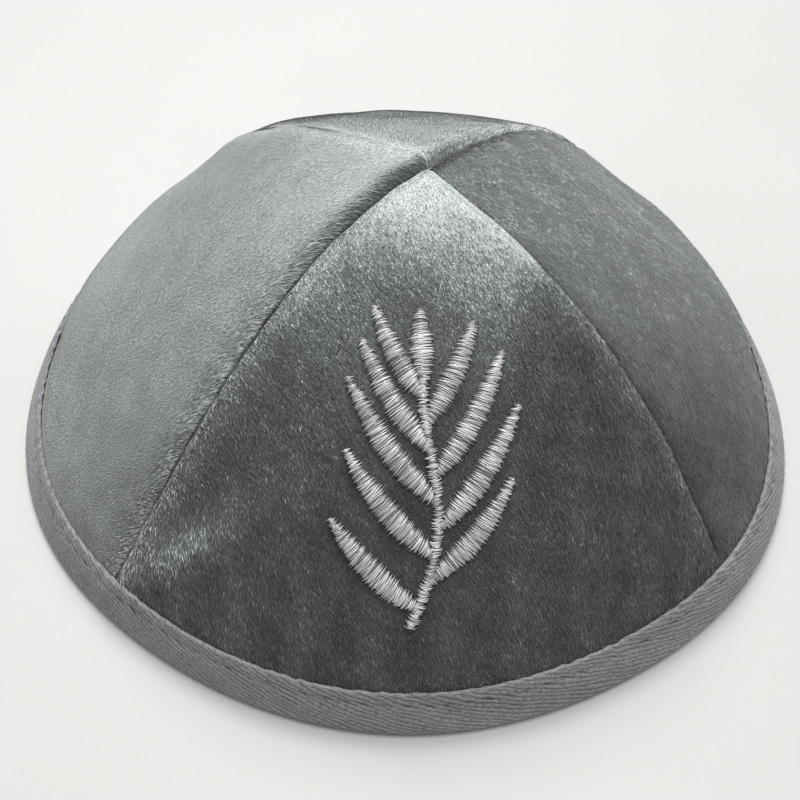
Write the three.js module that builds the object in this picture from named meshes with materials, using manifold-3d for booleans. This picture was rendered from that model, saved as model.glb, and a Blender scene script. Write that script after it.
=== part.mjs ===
// A four-panel kippah. Four velvet panels are sewn into a dome, a twill tape is folded round
// their lower edge, and a leafy sprig in padded satin stitch stands on the front panel.
// Millimetres. +Z is up, +X is to the viewer's right and -Y is towards the viewer. The rim
// rests on z = 0 and its outline is centred on the origin.

import * as THREE from 'three';
import { mergeVertices } from 'three/addons/utils/BufferGeometryUtils.js';
import Module from 'manifold-3d';

const wasm = await Module();
wasm.setup();

const { degToRad, lerp, smoothstep } = THREE.MathUtils;

// Crown, seen from the side: one curve from the apex to the edge of the tape
const crownHeight = 60.2;
const apexReach = 40.9; // how far out the curve runs nearly level
const apexFall = 2; // how far it has fallen there
const sideReach = 30.1; // length of the steep stretch above the tape
const sideSlope = 53.5; // its slope in degrees

// Crown, seen from above: squared towards the seams, rounding out to the rim
const squareAtApex = 0.42;
const squareHalfway = -0.34;
const meanSquareGain = 0.13; // how much a fully squared panel would widen
const apexLean = { x: 1.2, y: -1.4 };
const waistLean = { x: -2.1, y: 0.8 };

// Cloth
const panelWall = 2;
const tapeWall = 0.8;
const clearance = 0.3;

// Rim and tape edge: radius by direction, in degrees from +X towards the back
const tapeEdgeHeight = 9;
const rimHeight = 1.5;
const rimTable = [
  { direction: 0, rim: 85.5, tapeEdge: 80.4 },
  { direction: 30, rim: 84.9, tapeEdge: 80.5 },
  { direction: 60, rim: 84.9, tapeEdge: 80.7 },
  { direction: 90, rim: 84.8, tapeEdge: 80.5 },
  { direction: 120, rim: 84.8, tapeEdge: 80.9 },
  { direction: 150, rim: 83.4, tapeEdge: 79.3 },
  { direction: 180, rim: 84.3, tapeEdge: 80.1 },
  { direction: 210, rim: 86.2, tapeEdge: 82.2 },
  { direction: 240, rim: 85, tapeEdge: 81.8 },
  { direction: 270, rim: 85.2, tapeEdge: 81.8 },
  { direction: 300, rim: 84.3, tapeEdge: 80.4 },
  { direction: 330, rim: 86.1, tapeEdge: 81.6 },
];

// Tape section
const tapeBulge = 0.2; // the outer face rounds out halfway up
const footRound = 1.2; // radius of the turn at the foot
const outerCorner = 0.3; // part of it left at the outer corner, both inwards and up
const innerCorner = { level: 0.8, side: 0.2, up: 0.4 }; // parts of it at the inner corner
const slotFloor = 1; // height of the tape's inside fold

// Seams, in order front left, front right, back right and back left: direction at the apex,
// and in degrees how far the foot and the middle swing round
const seams = [
  { direction: -131.1, foot: 1.4, middle: 4 },
  { direction: -41.1, foot: 2.5, middle: 0.9 },
  { direction: 48.9, foot: 0.4, middle: -0.9 },
  { direction: 138.9, foot: -0.2, middle: 3.1 },
];
const seamDip = 0.5; // the cloth rolls down into every seam
const seamRoll = 1.5; // and this is how near the seam it starts
const skirtFoot = 2.4; // height of the panels' raw edge inside the tape, at its outer corner

// Panels, each from its first seam to the next: how far its middle sinks, and how far its
// cloth stands proud beside each seam at the apex end, halfway and at the foot
const panels = [
  { name: 'panel_front', sink: 0, first: [0, 0, 0], last: [0.5, 0.6, 0.3] },
  { name: 'panel_right', sink: 1.6, first: [0, 0, 0], last: [0, 0.2, 0.3] },
  { name: 'panel_back', sink: 2.2, first: [2.6, 0.5, 0.2], last: [0, 0.3, 0.3] },
  { name: 'panel_left', sink: 2.4, first: [0, 0.3, 0.3], last: [3.2, 1.2, 0.4] },
];
const shoulderReach = 16; // how far from the seam a proud shoulder fades
const reliefFade = 0.06; // last part of the curve, where relief flattens out towards the tape

// Folds, dents and bulges: from one place of a panel to another, across -1 to 1 and along 0 to 1
const folds = [
  { panel: 0, from: [-0.86, 0.9], to: [-0.64, 0.7], rise: 0.7, reach: 4 },
  { panel: 0, from: [-0.99, 0.99], to: [-0.88, 0.95], rise: 0.4, reach: 3 },
  { panel: 1, from: [0.75, 0.52], to: [0.45, 0.66], rise: -1.2, reach: 9 },
  { panel: 1, from: [0.1, 0.88], to: [0.75, 0.88], rise: 2.2, reach: 12 },
  { panel: 3, from: [0.2, 0.88], to: [0.75, 0.8], rise: -0.6, reach: 10 },
  { panel: 3, from: [-0.8, 0.88], to: [-0.15, 0.88], rise: 1.8, reach: 12 },
];

// Sprig, in millimetres of cloth: right of the panel's middle, and down from the apex
const stemFoot = { right: -4.5, down: 87.5 };
const stemTip = { right: 1, down: 44.5 };
const stemSway = 2.6;
const swayTurns = 0.75;
const stemWidth = 1.7;
const leafCount = 9;
const stemBelowLeaves = 0.7; // in spaces between two leaves, as is the next
const stemAboveLeaves = 0.9;
const leafLengths = [22, 25.5, 14]; // low, halfway and high on the stem
const leafAngle = { low: 60, high: 36 }; // degrees from the stem
const leafWidth = 4.2;
const leafEndWidth = 0.2; // part of the width at a leaf's two ends
const leafOutline = { lean: 0.85, fullness: 0.8 }; // powers: widest below halfway, and blunt
const leafCurl = 0.2; // part of its length by which a leaf turns up
const tipLeafPart = 0.97; // where on the stem the tip's leaf begins
const tipLeafLength = 10.5;

// Thread: heights above the velvet
const stemRise = { under: 0.3, edge: 0.7, crest: 1.15 };
const leafRise = { under: 0.42, edge: 0.7, crest: 1.35 };

// Facets
const panelColumns = 16;
const panelRows = 21;
const skirtRows = 2;
const tapeSteps = 84;
const stemSteps = 14;
const leafSteps = 6;
const tipStart = 0.002; // where along the curve a panel's point begins

/** Reads a column of the rim table at any direction, as a smooth closed curve. */
function around(column, direction) {
  const turn = Math.PI * 2;
  const place = ((((direction / turn) % 1) + 1) % 1) * rimTable.length;
  const row = Math.floor(place);
  const f = place - row;
  const near = (k) => rimTable[(row + k + rimTable.length) % rimTable.length][column];
  const [a, b, c, d] = [-1, 0, 1, 2].map(near);
  const [slopeIn, slopeOut] = [(c - a) / 2, (d - b) / 2];
  const f2 = f * f;
  const f3 = f2 * f;
  const start = (2 * f3 - 3 * f2 + 1) * b + (f3 - 2 * f2 + f) * slopeIn;
  return start + (3 * f2 - 2 * f3) * c + (f3 - f2) * slopeOut;
}

/** The tape's outer face at a direction, in the plane of radius and height. */
function hem(direction) {
  const edge = new THREE.Vector2(around('tapeEdge', direction), tapeEdgeHeight);
  const foot = new THREE.Vector2(around('rim', direction), rimHeight);
  const down = foot.clone().sub(edge).normalize();
  const out = new THREE.Vector2(-down.y, down.x);
  return { edge, foot, down, out };
}

/** The crown's outer curve at a direction, from the apex to where the tape covers it. */
function crownCurve(direction) {
  const { edge, out } = hem(direction);
  const slope = degToRad(sideSlope);
  const apex = new THREE.Vector2(0, crownHeight);
  const level = new THREE.Vector2(apexReach, crownHeight - apexFall);
  const end = edge.addScaledVector(out, -tapeWall - clearance);
  const uphill = new THREE.Vector2(-Math.cos(slope), Math.sin(slope));
  const steep = end.clone().addScaledVector(uphill, sideReach);
  return new THREE.CubicBezierCurve(apex, level, steep, end);
}

const frontCurve = crownCurve(degToRad(-90));
const frontRadius = frontCurve.getPoint(1).x;

/** Direction of a seam at a part w of the way out from the apex to the tape. */
function seamDirection(index, w) {
  const seam = seams[index % seams.length];
  const turns = Math.floor(index / seams.length) * 360;
  return degToRad(seam.direction + turns + seam.foot * w + seam.middle * Math.sin(Math.PI * w));
}

/** Reads three values, at the start, halfway and at the end, at any part of the way. */
function between([start, halfway, end], part) {
  return part < 0.5 ? lerp(start, halfway, part * 2) : lerp(halfway, end, part * 2 - 1);
}

/** How far the cloth stands off the plain curve because of the seams beside it. */
function seamRelief(panel, across, w, halfWidth) {
  const fromFirst = halfWidth * (1 + across);
  const fromLast = halfWidth * (1 - across);
  let rise = 0;
  for (const [distance, heights] of [[fromFirst, panel.first], [fromLast, panel.last]]) {
    const dip = Math.exp(-((distance / seamRoll) ** 2));
    rise += between(heights, w) * (1 - dip) * Math.exp(-distance / shoulderReach) - seamDip * dip;
  }
  return rise;
}

/** Distance from a point to the straight line between two others. */
function distanceToLine(point, from, to) {
  const nearest = new THREE.Line3(from, to).closestPointToPoint(point, true, new THREE.Vector3());
  return nearest.distanceTo(point);
}

/**
 * A point of the crown. across runs from -1 at the panel's first seam to 1 at the next; along
 * runs from 0 at the apex to 1 at the tape's edge and 2 at the raw edge inside the tape;
 * depth goes inwards from the outer face. plain leaves out the seams' and folds' relief.
 */
function crownPoint(index, across, along, depth = 0, plain = false) {
  const panel = panels[index];
  const t = Math.min(along, 1);
  const radius = frontCurve.getPoint(t).x;
  const w = radius / frontRadius;
  const first = seamDirection(index, w);
  const last = seamDirection(index + 1, w);
  const half = (last - first) / 2;
  const gapAngle = Math.asin(Math.min(1, clearance / 2 / radius));
  const direction = first + half + across * (half - gapAngle);

  const curve = crownCurve(direction);
  const place = curve.getPoint(t);
  const tangent = curve.getTangent(t);
  const out = new THREE.Vector2(-tangent.y, tangent.x);
  if (along >= 1) {
    const sleeve = hem(direction);
    const length = (place.y - skirtFoot) / -sleeve.down.y;
    place.addScaledVector(sleeve.down, length * (along - 1));
    out.copy(sleeve.out);
  }

  const squareness = squareAtApex * (1 - w * w) + squareHalfway * 2 * w * (1 - w);
  const corner = 1 / Math.cos((across * Math.PI) / 4) - 1;
  place.x *= (1 + squareness * corner) / (1 + squareness * meanSquareGain);

  let rise = -panel.sink * Math.cos((across * Math.PI) / 2) * Math.sin(Math.PI * w);
  if (!plain) {
    let relief = seamRelief(panel, across, w, radius * half);
    const middle = crownPoint(index, across, along, 0, true);
    for (const fold of folds.filter((one) => one.panel === index)) {
      const from = crownPoint(index, ...fold.from, 0, true);
      const to = crownPoint(index, ...fold.to, 0, true);
      relief += fold.rise * Math.exp(-((distanceToLine(middle, from, to) / fold.reach) ** 2));
    }
    rise += relief * smoothstep(1 - t, 0, reliefFade);
  }
  place.addScaledVector(out, rise - depth);

  const apexShare = 1 - w * w;
  const waistShare = 4 * w * (1 - w);
  return new THREE.Vector3(
    place.x * Math.cos(direction) + apexLean.x * apexShare + waistLean.x * waistShare,
    place.x * Math.sin(direction) + apexLean.y * apexShare + waistLean.y * waistShare,
    place.y,
  );
}

/** Collects four-sided faces and turns them into one closed mesh. */
class FaceList {
  positions = [];

  triangle(a, b, c) {
    const area = b.clone().sub(a).cross(c.clone().sub(a)).length();
    if (area > 1e-9) {
      this.positions.push(...a.toArray(), ...b.toArray(), ...c.toArray());
    }
  }

  quad(a, b, c, d) {
    this.triangle(a, b, c);
    this.triangle(a, c, d);
  }

  /** A grid of points, rows running down and columns turning to the left seen from outside. */
  grid(rows, closed = false) {
    const columns = rows[0].length;
    for (let r = 0; r + 1 < rows.length; r += 1) {
      for (let c = 0; c + (closed ? 0 : 1) < columns; c += 1) {
        const next = (c + 1) % columns;
        this.quad(rows[r][c], rows[r + 1][c], rows[r + 1][next], rows[r][next]);
      }
    }
  }

  geometry() {
    const loose = new THREE.BufferGeometry();
    loose.setAttribute('position', new THREE.Float32BufferAttribute(this.positions, 3));
    return mergeVertices(loose, 1e-4);
  }
}

/** A wall between an outer and an inner grid of points, closed along all four sides. */
function wallGeometry(outer, inner) {
  const faces = new FaceList();
  faces.grid(outer);
  faces.grid(inner.map((row) => [...row].reverse()));
  const lastRow = outer.length - 1;
  const lastColumn = outer[0].length - 1;
  for (let c = 0; c < lastColumn; c += 1) {
    faces.quad(outer[lastRow][c + 1], outer[lastRow][c], inner[lastRow][c], inner[lastRow][c + 1]);
  }
  for (let r = 0; r < lastRow; r += 1) {
    faces.quad(outer[r + 1][0], outer[r][0], inner[r][0], inner[r + 1][0]);
    const [far, farBelow] = [outer[r][lastColumn], outer[r + 1][lastColumn]];
    faces.quad(far, farBelow, inner[r + 1][lastColumn], inner[r][lastColumn]);
  }
  return faces.geometry();
}

/** One panel: narrow columns beside its seams, wide ones in its middle. */
function panelGeometry(index) {
  const side = (depth) => {
    const rows = [Array(panelColumns + 1).fill(crownPoint(index, 0, tipStart, depth))];
    for (let r = 1; r <= panelRows + skirtRows; r += 1) {
      const along = r <= panelRows ? r / panelRows : 1 + (r - panelRows) / skirtRows;
      const row = [];
      for (let c = 0; c <= panelColumns; c += 1) {
        const across = Math.sin((c / panelColumns - 0.5) * Math.PI);
        row.push(crownPoint(index, across, along, depth));
      }
      rows.push(row);
    }
    return rows;
  };
  return wallGeometry(side(0), side(panelWall));
}

/** The folded tape's section at a direction, in the plane of radius and height. */
function tapeSection(direction) {
  const { edge, foot, down, out } = hem(direction);
  const onFace = (depth, height) => {
    const start = edge.clone().addScaledVector(out, -depth);
    return start.addScaledVector(down, (start.y - height) / -down.y);
  };
  const leaf = tapeWall;
  const slot = panelWall + 2 * clearance;
  const middle = edge.clone().lerp(foot, 0.5).addScaledVector(out, tapeBulge);
  const innerFoot = onFace(2 * leaf + slot, rimHeight);
  return [
    edge,
    middle,
    foot,
    new THREE.Vector2(foot.x - footRound * outerCorner, footRound * outerCorner),
    new THREE.Vector2(foot.x - footRound, 0),
    new THREE.Vector2(innerFoot.x + footRound * innerCorner.level, 0),
    new THREE.Vector2(innerFoot.x + footRound * innerCorner.side, footRound * innerCorner.up),
    innerFoot,
    edge.clone().addScaledVector(out, -2 * leaf - slot),
    edge.clone().addScaledVector(out, -leaf - slot),
    onFace(leaf + slot, slotFloor),
    onFace(leaf, slotFloor),
    edge.clone().addScaledVector(out, -leaf),
  ];
}

/** The tape, all the way round. */
function tapeGeometry() {
  const columns = Array.from({ length: tapeSteps }, (_, step) => {
    const direction = (step / tapeSteps) * Math.PI * 2;
    const spoke = new THREE.Vector3(Math.cos(direction), Math.sin(direction), 0);
    return tapeSection(direction).map((p) => spoke.clone().multiplyScalar(p.x).setZ(p.y));
  });
  const rows = columns[0].map((_, k) => columns.map((column) => column[k]));
  const faces = new FaceList();
  faces.grid([...rows, rows[0]], true);
  return faces.geometry();
}

/** A point above the front panel, right of its middle and down from the apex along the cloth. */
function onFront({ right, down }, rise) {
  const along = frontCurve.getUtoTmapping(0, down);
  const radius = frontCurve.getPoint(along).x;
  const across = right / (radius * (Math.PI / 4));
  return crownPoint(0, across, along, -rise, true);
}

/** One run of padded stitching along a spine: flat beneath, crested above. */
function satinGeometry(spine, widthAt, heights) {
  const sections = spine.map((point, k) => {
    const before = spine[Math.max(k - 1, 0)];
    const after = spine[Math.min(k + 1, spine.length - 1)];
    const run = new THREE.Vector2(after.right - before.right, after.down - before.down).normalize();
    const half = widthAt(k / (spine.length - 1)) / 2;
    const side = (sign) => ({
      right: point.right - sign * run.y * half,
      down: point.down + sign * run.x * half,
    });
    return [
      onFront(side(1), heights.under),
      onFront(side(1), heights.edge),
      onFront(point, heights.crest),
      onFront(side(-1), heights.edge),
      onFront(side(-1), heights.under),
    ];
  });
  const faces = new FaceList();
  faces.grid(sections, true);
  const cap = ([a, b, c, d, e]) => {
    faces.triangle(a, b, c);
    faces.triangle(a, c, d);
    faces.triangle(a, d, e);
  };
  cap(sections[0]);
  cap([...sections[sections.length - 1]].reverse());
  return faces.geometry();
}

/** A place on the stem, from 0 at its foot to 1 at its tip. */
function stemPlace(part) {
  const sway = stemSway * Math.sin(part * Math.PI * 2 * swayTurns);
  return {
    right: lerp(stemFoot.right, stemTip.right, part) + sway,
    down: lerp(stemFoot.down, stemTip.down, part),
  };
}

/** The line down the middle of a leaf. */
function leafSpine(base, side, length, angle) {
  return Array.from({ length: leafSteps + 1 }, (_, k) => {
    const q = k / leafSteps;
    return {
      right: base.right + side * length * Math.sin(angle) * q * (1 - leafCurl * q),
      down: base.down - length * Math.cos(angle) * q * (1 + leafCurl * q),
    };
  });
}

/** A leaf's width at a part q of its length. */
function leafWidthAt(q) {
  const full = Math.sin(Math.PI * q ** leafOutline.lean) ** leafOutline.fullness;
  return leafWidth * lerp(leafEndWidth, 1, full);
}

/** Turns a closed mesh into a solid that can be joined to others. */
function solid(geometry) {
  const vertProperties = new Float32Array(geometry.attributes.position.array);
  const triVerts = new Uint32Array(geometry.index.array);
  return new wasm.Manifold(new wasm.Mesh({ numProp: 3, vertProperties, triVerts }));
}

/** The sprig: a stem, alternate leaves and one leaf at the tip, in one piece of stitching. */
function sprigGeometry() {
  const stem = Array.from({ length: stemSteps + 1 }, (_, k) => stemPlace(k / stemSteps));
  let sprig = solid(satinGeometry(stem, () => stemWidth, stemRise));
  const join = (spine) => {
    sprig = sprig.add(solid(satinGeometry(spine, leafWidthAt, leafRise)));
  };
  for (let k = 0; k < leafCount; k += 1) {
    const part = (k + stemBelowLeaves) / (leafCount - 1 + stemBelowLeaves + stemAboveLeaves);
    const side = k % 2 ? 1 : -1;
    const angle = degToRad(lerp(leafAngle.low, leafAngle.high, part));
    join(leafSpine(stemPlace(part), side, between(leafLengths, part), angle));
  }
  join(leafSpine(stemPlace(tipLeafPart), 1, tipLeafLength, 0));

  const { vertProperties, triVerts } = sprig.getMesh();
  const geometry = new THREE.BufferGeometry();
  geometry.setAttribute('position', new THREE.Float32BufferAttribute(vertProperties, 3));
  geometry.setIndex([...triVerts]);
  return geometry;
}

const velvet = new THREE.MeshStandardMaterial({ color: 0x6f7876, roughness: 0.85, metalness: 0 });
const twill = new THREE.MeshStandardMaterial({ color: 0x7b7f84, roughness: 0.8, metalness: 0 });
const silverThread = new THREE.MeshStandardMaterial({ color: 0xc4c8cc, roughness: 0.35, metalness: 0.3 });

/** A named piece with flat facets. */
function piece(name, geometry, material) {
  const facets = geometry.toNonIndexed();
  facets.computeVertexNormals();
  const mesh = new THREE.Mesh(facets, material);
  mesh.name = name;
  return mesh;
}

const cap = new THREE.Group();
cap.name = 'kippah';
panels.forEach((panel, index) => cap.add(piece(panel.name, panelGeometry(index), velvet.clone())));
cap.add(piece('rim_binding', tapeGeometry(), twill));
cap.add(piece('embroidered_sprig', sprigGeometry(), silverThread));

const outline = new THREE.Box3().setFromObject(cap);
const middle = outline.getCenter(new THREE.Vector3());
cap.position.set(-middle.x, -middle.y, -outline.min.z);

export default cap;
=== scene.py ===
"""A grey velvet kippah on a pale table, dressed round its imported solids.

Four velvet panels with a real pile, a folded twill tape with its topstitching, and a sprig in
satin stitch. Lengths in the classes are millimetres, angles are degrees, and the meshes are
made in metres. Directions turn from +X towards the back.
"""

import logging
import math
from dataclasses import dataclass
from enum import Enum, IntEnum

import bpy
import numpy as np
from mathutils import Matrix, Vector


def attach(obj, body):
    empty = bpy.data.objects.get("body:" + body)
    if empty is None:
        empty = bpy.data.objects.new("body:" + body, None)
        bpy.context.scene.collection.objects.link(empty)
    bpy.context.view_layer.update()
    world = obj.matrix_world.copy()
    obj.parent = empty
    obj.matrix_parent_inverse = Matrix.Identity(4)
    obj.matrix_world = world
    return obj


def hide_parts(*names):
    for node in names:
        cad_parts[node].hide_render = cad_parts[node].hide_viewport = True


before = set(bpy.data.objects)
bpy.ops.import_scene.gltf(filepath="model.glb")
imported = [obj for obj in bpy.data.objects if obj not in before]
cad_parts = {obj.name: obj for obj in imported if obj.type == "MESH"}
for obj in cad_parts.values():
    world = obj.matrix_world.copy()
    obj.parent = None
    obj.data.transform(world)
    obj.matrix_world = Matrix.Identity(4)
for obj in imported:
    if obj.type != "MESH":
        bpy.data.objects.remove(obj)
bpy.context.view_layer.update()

log = logging.getLogger("kippah")

MM = 0.001
BODY = "root"
BAKE_MAP = "OFBake"
NAP_MAP = "nap"
FRONT_PANEL = 0
FAR_AWAY = 1e3

Points = np.ndarray
Colour = tuple[float, float, float]
Pair = tuple[float, float]
Three = tuple[float, float, float]


class Seed(IntEnum):
    """Where each kind of chance starts. A panel adds its own number to its kinds."""

    SLACK = 10
    PUCKERS = 40
    MOTTLE = 60
    FINE_MOTTLE = 70
    NAP = 80
    RIBS = 90
    TAPE_TONE = 91
    TAPE_EDGE = 92
    PILE = 200
    TOPSTITCH = 300
    NEEDLE_HOLES = 301
    SATIN = 400
    SATIN_SHEEN = 410


class Slot(Enum):
    """The record's material slots."""

    VELVET = "velvet"
    TAPE = "twill_tape"
    THREAD = "silver_thread"


class Held(Enum):
    """How a sheet of cloth is held in its place."""

    STRETCHED = "stretched"
    FOLDED = "folded"


class Relief(Enum):
    """How much of the cloth's own relief a point of the crown has."""

    PLAIN = "the cut alone"
    SEWN = "with seams, folds and the slack of the cloth"


def smooth_step(value: Points, low: float, high: float) -> Points:
    """Rises smoothly from 0 to 1 between two limits.

    Args:
        value: The values to read.
        low: Where the rise starts.
        high: Where it ends.

    Returns:
        The risen values, from 0 to 1.
    """
    part = np.clip((value - low) / (high - low), 0, 1)
    return part * part * (3 - 2 * part)


def bell(distance: Points, reach: float | Points) -> Points:
    """Falls smoothly from 1 where there is no distance to about a third at the reach."""
    return np.exp(-((distance / reach) ** 2))


def between(three: Three, part: Points) -> Points:
    """Reads three values, at the start, halfway and at the end, at any part of the way."""
    return np.interp(part, (0, 0.5, 1), three)


def unit(vectors: Points) -> Points:
    """Gives vectors a length of one."""
    return vectors / np.maximum(np.linalg.norm(vectors, axis=-1, keepdims=True), 1e-12)


def spokes(direction: Points) -> Points:
    """Level unit vectors, from directions in radians."""
    return np.stack([np.cos(direction), np.sin(direction)], -1)


def run_along(points: Points) -> Points:
    """The distance along a row of points, from the first of them to each."""
    return np.concatenate([[0], np.cumsum(np.linalg.norm(np.diff(points, axis=0), axis=-1))])


def walk(points: Points, run: Points, places: Points) -> Points:
    """Reads a flat line at some distances along it, where run has those of its own points."""
    return np.stack([np.interp(places, run, points[:, k]) for k in (0, 1)], -1)


def bowed(start: Points, end: Points, way: Points, rows: int, bulge: float = 0) -> Points:
    """Draws a strip from one line to another, rounded out a little between them.

    Args:
        start: The line where it starts.
        end: The line where it ends.
        way: The directions in which it rounds out.
        rows: How many rows it has.
        bulge: How far it rounds out.

    Returns:
        The rows' points.
    """
    part = np.linspace(0, 1, rows)[:, None, None]
    return start + (end - start) * part + way * (bulge * 4 * part * (1 - part))


def rounded(start: Points, corner: Points, end: Points, rows: int) -> Points:
    """Draws the rows that round a corner between two lines.

    Args:
        start: The line before the corner.
        corner: The corner itself.
        end: The line after it.
        rows: How many rows lie between the two lines.

    Returns:
        The rows' points.
    """
    part = np.linspace(0, 1, rows + 2)[1:-1, None, None]
    return (1 - part) ** 2 * start + 2 * part * (1 - part) * corner + part**2 * end


def turned(first: Vector, second: Vector, degrees: float) -> tuple[Vector, Vector]:
    """Turns two square vectors together, the first towards the second."""
    c, s = math.cos(math.radians(degrees)), math.sin(math.radians(degrees))
    return first * c + second * s, second * c - first * s


def ripple(x: Points, y: Points, pitch: float, seed: int, waves: int = 9) -> Points:
    """Makes soft, even unevenness from a few waves in chance directions.

    Args:
        x: First coordinate, in millimetres.
        y: Second coordinate, in millimetres.
        pitch: Usual distance between two crests.
        seed: Sets the chance, so that each run gives the same cloth.
        waves: How many waves are added together.

    Returns:
        Values round zero, mostly between -1 and 1.
    """
    chance = np.random.default_rng(seed)
    total = np.zeros(np.broadcast(x, y).shape)
    for _ in range(waves):
        turn = chance.uniform(0, math.tau)
        count = math.tau / (pitch * chance.uniform(0.7, 1.5))
        total += np.sin(count * (x * math.cos(turn) + y * math.sin(turn)) + chance.uniform(0, math.tau))
    return total / math.sqrt(waves)


@dataclass(frozen=True)
class RimRow:
    """Radius of the cap's foot and of the tape's top edge, at one direction."""

    direction: float
    rim: float
    tape_edge: float


@dataclass(frozen=True)
class Seam:
    """A seam's direction at the apex, and how far its foot and its middle swing round."""

    direction: float
    foot: float
    middle: float


@dataclass(frozen=True)
class Fold:
    """A soft fold or dent from one place of a panel to another, across -1 to 1, along 0 to 1."""

    start: Pair
    end: Pair
    rise: float
    reach: float


@dataclass(frozen=True)
class SheenPatch:
    """A patch of painted sheen that makes the pile look lighter, or of painted shade that makes
    it look darker: its middle, half its size and its turn.
    """

    across: float
    down: float
    wide: float
    long: float
    change: float
    turn: float = 0


@dataclass(frozen=True)
class Edge:
    """How a panel's cloth lies beside one seam, at the apex, halfway and at the foot.

    proud is how far it stands off, dip and turn how deep and how wide it rolls into the seam,
    roll and band the painted shade (below zero) or painted sheen (above zero) added to the
    pile's tone on that roll and in a wider band, comb how much more the tufts differ in that
    band, and fluff how much longer they are at the seam.
    """

    proud: Three = (0, 0, 0)
    dip: Three = (0.4, 0.4, 0.4)
    turn: Three = (0.4, 0.4, 0.4)
    roll: Three = (0, 0, 0)
    band: Three = (0, 0, 0)
    comb: Three = (0, 0, 0)
    fluff: Three = (0, 0, 0)


@dataclass(frozen=True)
class Pile:
    """The tufts' spacing, their length, their width and how far they stand up."""

    pitch: float
    length: float
    width: float
    lift: float


SHORT_PILE = Pile(pitch=0.42, length=1.0, width=0.22, lift=18)
LAID_PILE = Pile(pitch=0.48, length=1.0, width=0.3, lift=11)


@dataclass(frozen=True)
class Cut:
    """One panel, from its first seam to the next.

    sink is how far its middle sinks, and first and last are its two edges. nap is the turn of
    the pile from straight down: at the apex, and at the foot beside the first and the last
    seam, which it reaches at nap_settled, a part of the way out. light is its usual tone, a
    painted sheen, and contrast how much its tufts differ. The patches in its table add
    painted sheen and painted shade to that tone.
    """

    side: str
    sink: float
    first: Edge
    last: Edge
    pile: Pile
    nap: Three
    light: float
    contrast: float
    folds: tuple[Fold, ...] = ()
    sheen_patches: tuple[SheenPatch, ...] = ()
    nap_settled: float = 0.6

    @property
    def edges(self) -> tuple[tuple[int, Edge], tuple[int, Edge]]:
        """Its two edges, each with the way across that leads off it."""
        return (1, self.first), (-1, self.last)

    def nap_at(self, across: Points, w: Points) -> Points:
        """Gives the turn of the pile from straight down.

        Args:
            across: Places from the first seam, -1, to the next, 1.
            w: Parts of the way out from the apex.

        Returns:
            Turns, in degrees.
        """
        apex, first_foot, last_foot = self.nap
        foot = first_foot + (last_foot - first_foot) * (across + 1) / 2
        return apex + (foot - apex) * smooth_step(w, 0, self.nap_settled)


RIM_ROWS = (
    RimRow(0, 85.5, 80.4), RimRow(30, 84.9, 80.5), RimRow(60, 84.9, 80.7),
    RimRow(90, 84.8, 80.5), RimRow(120, 84.8, 80.9), RimRow(150, 83.4, 79.3),
    RimRow(180, 84.3, 80.1), RimRow(210, 86.2, 82.2), RimRow(240, 85.0, 81.8),
    RimRow(270, 85.2, 81.8), RimRow(300, 84.3, 80.4), RimRow(330, 86.1, 81.6),
)

SEAMS = (
    Seam(-131.1, foot=1.4, middle=4),
    Seam(-41.1, foot=2.5, middle=0.9),
    Seam(48.9, foot=0.4, middle=-0.9),
    Seam(138.9, foot=-0.2, middle=3.1),
)

# Each cut's light, its patches and its edges' roll and band are painted sheen and painted shade in the
# pile's tone, standing in for how its pile lies to the light.
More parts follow.
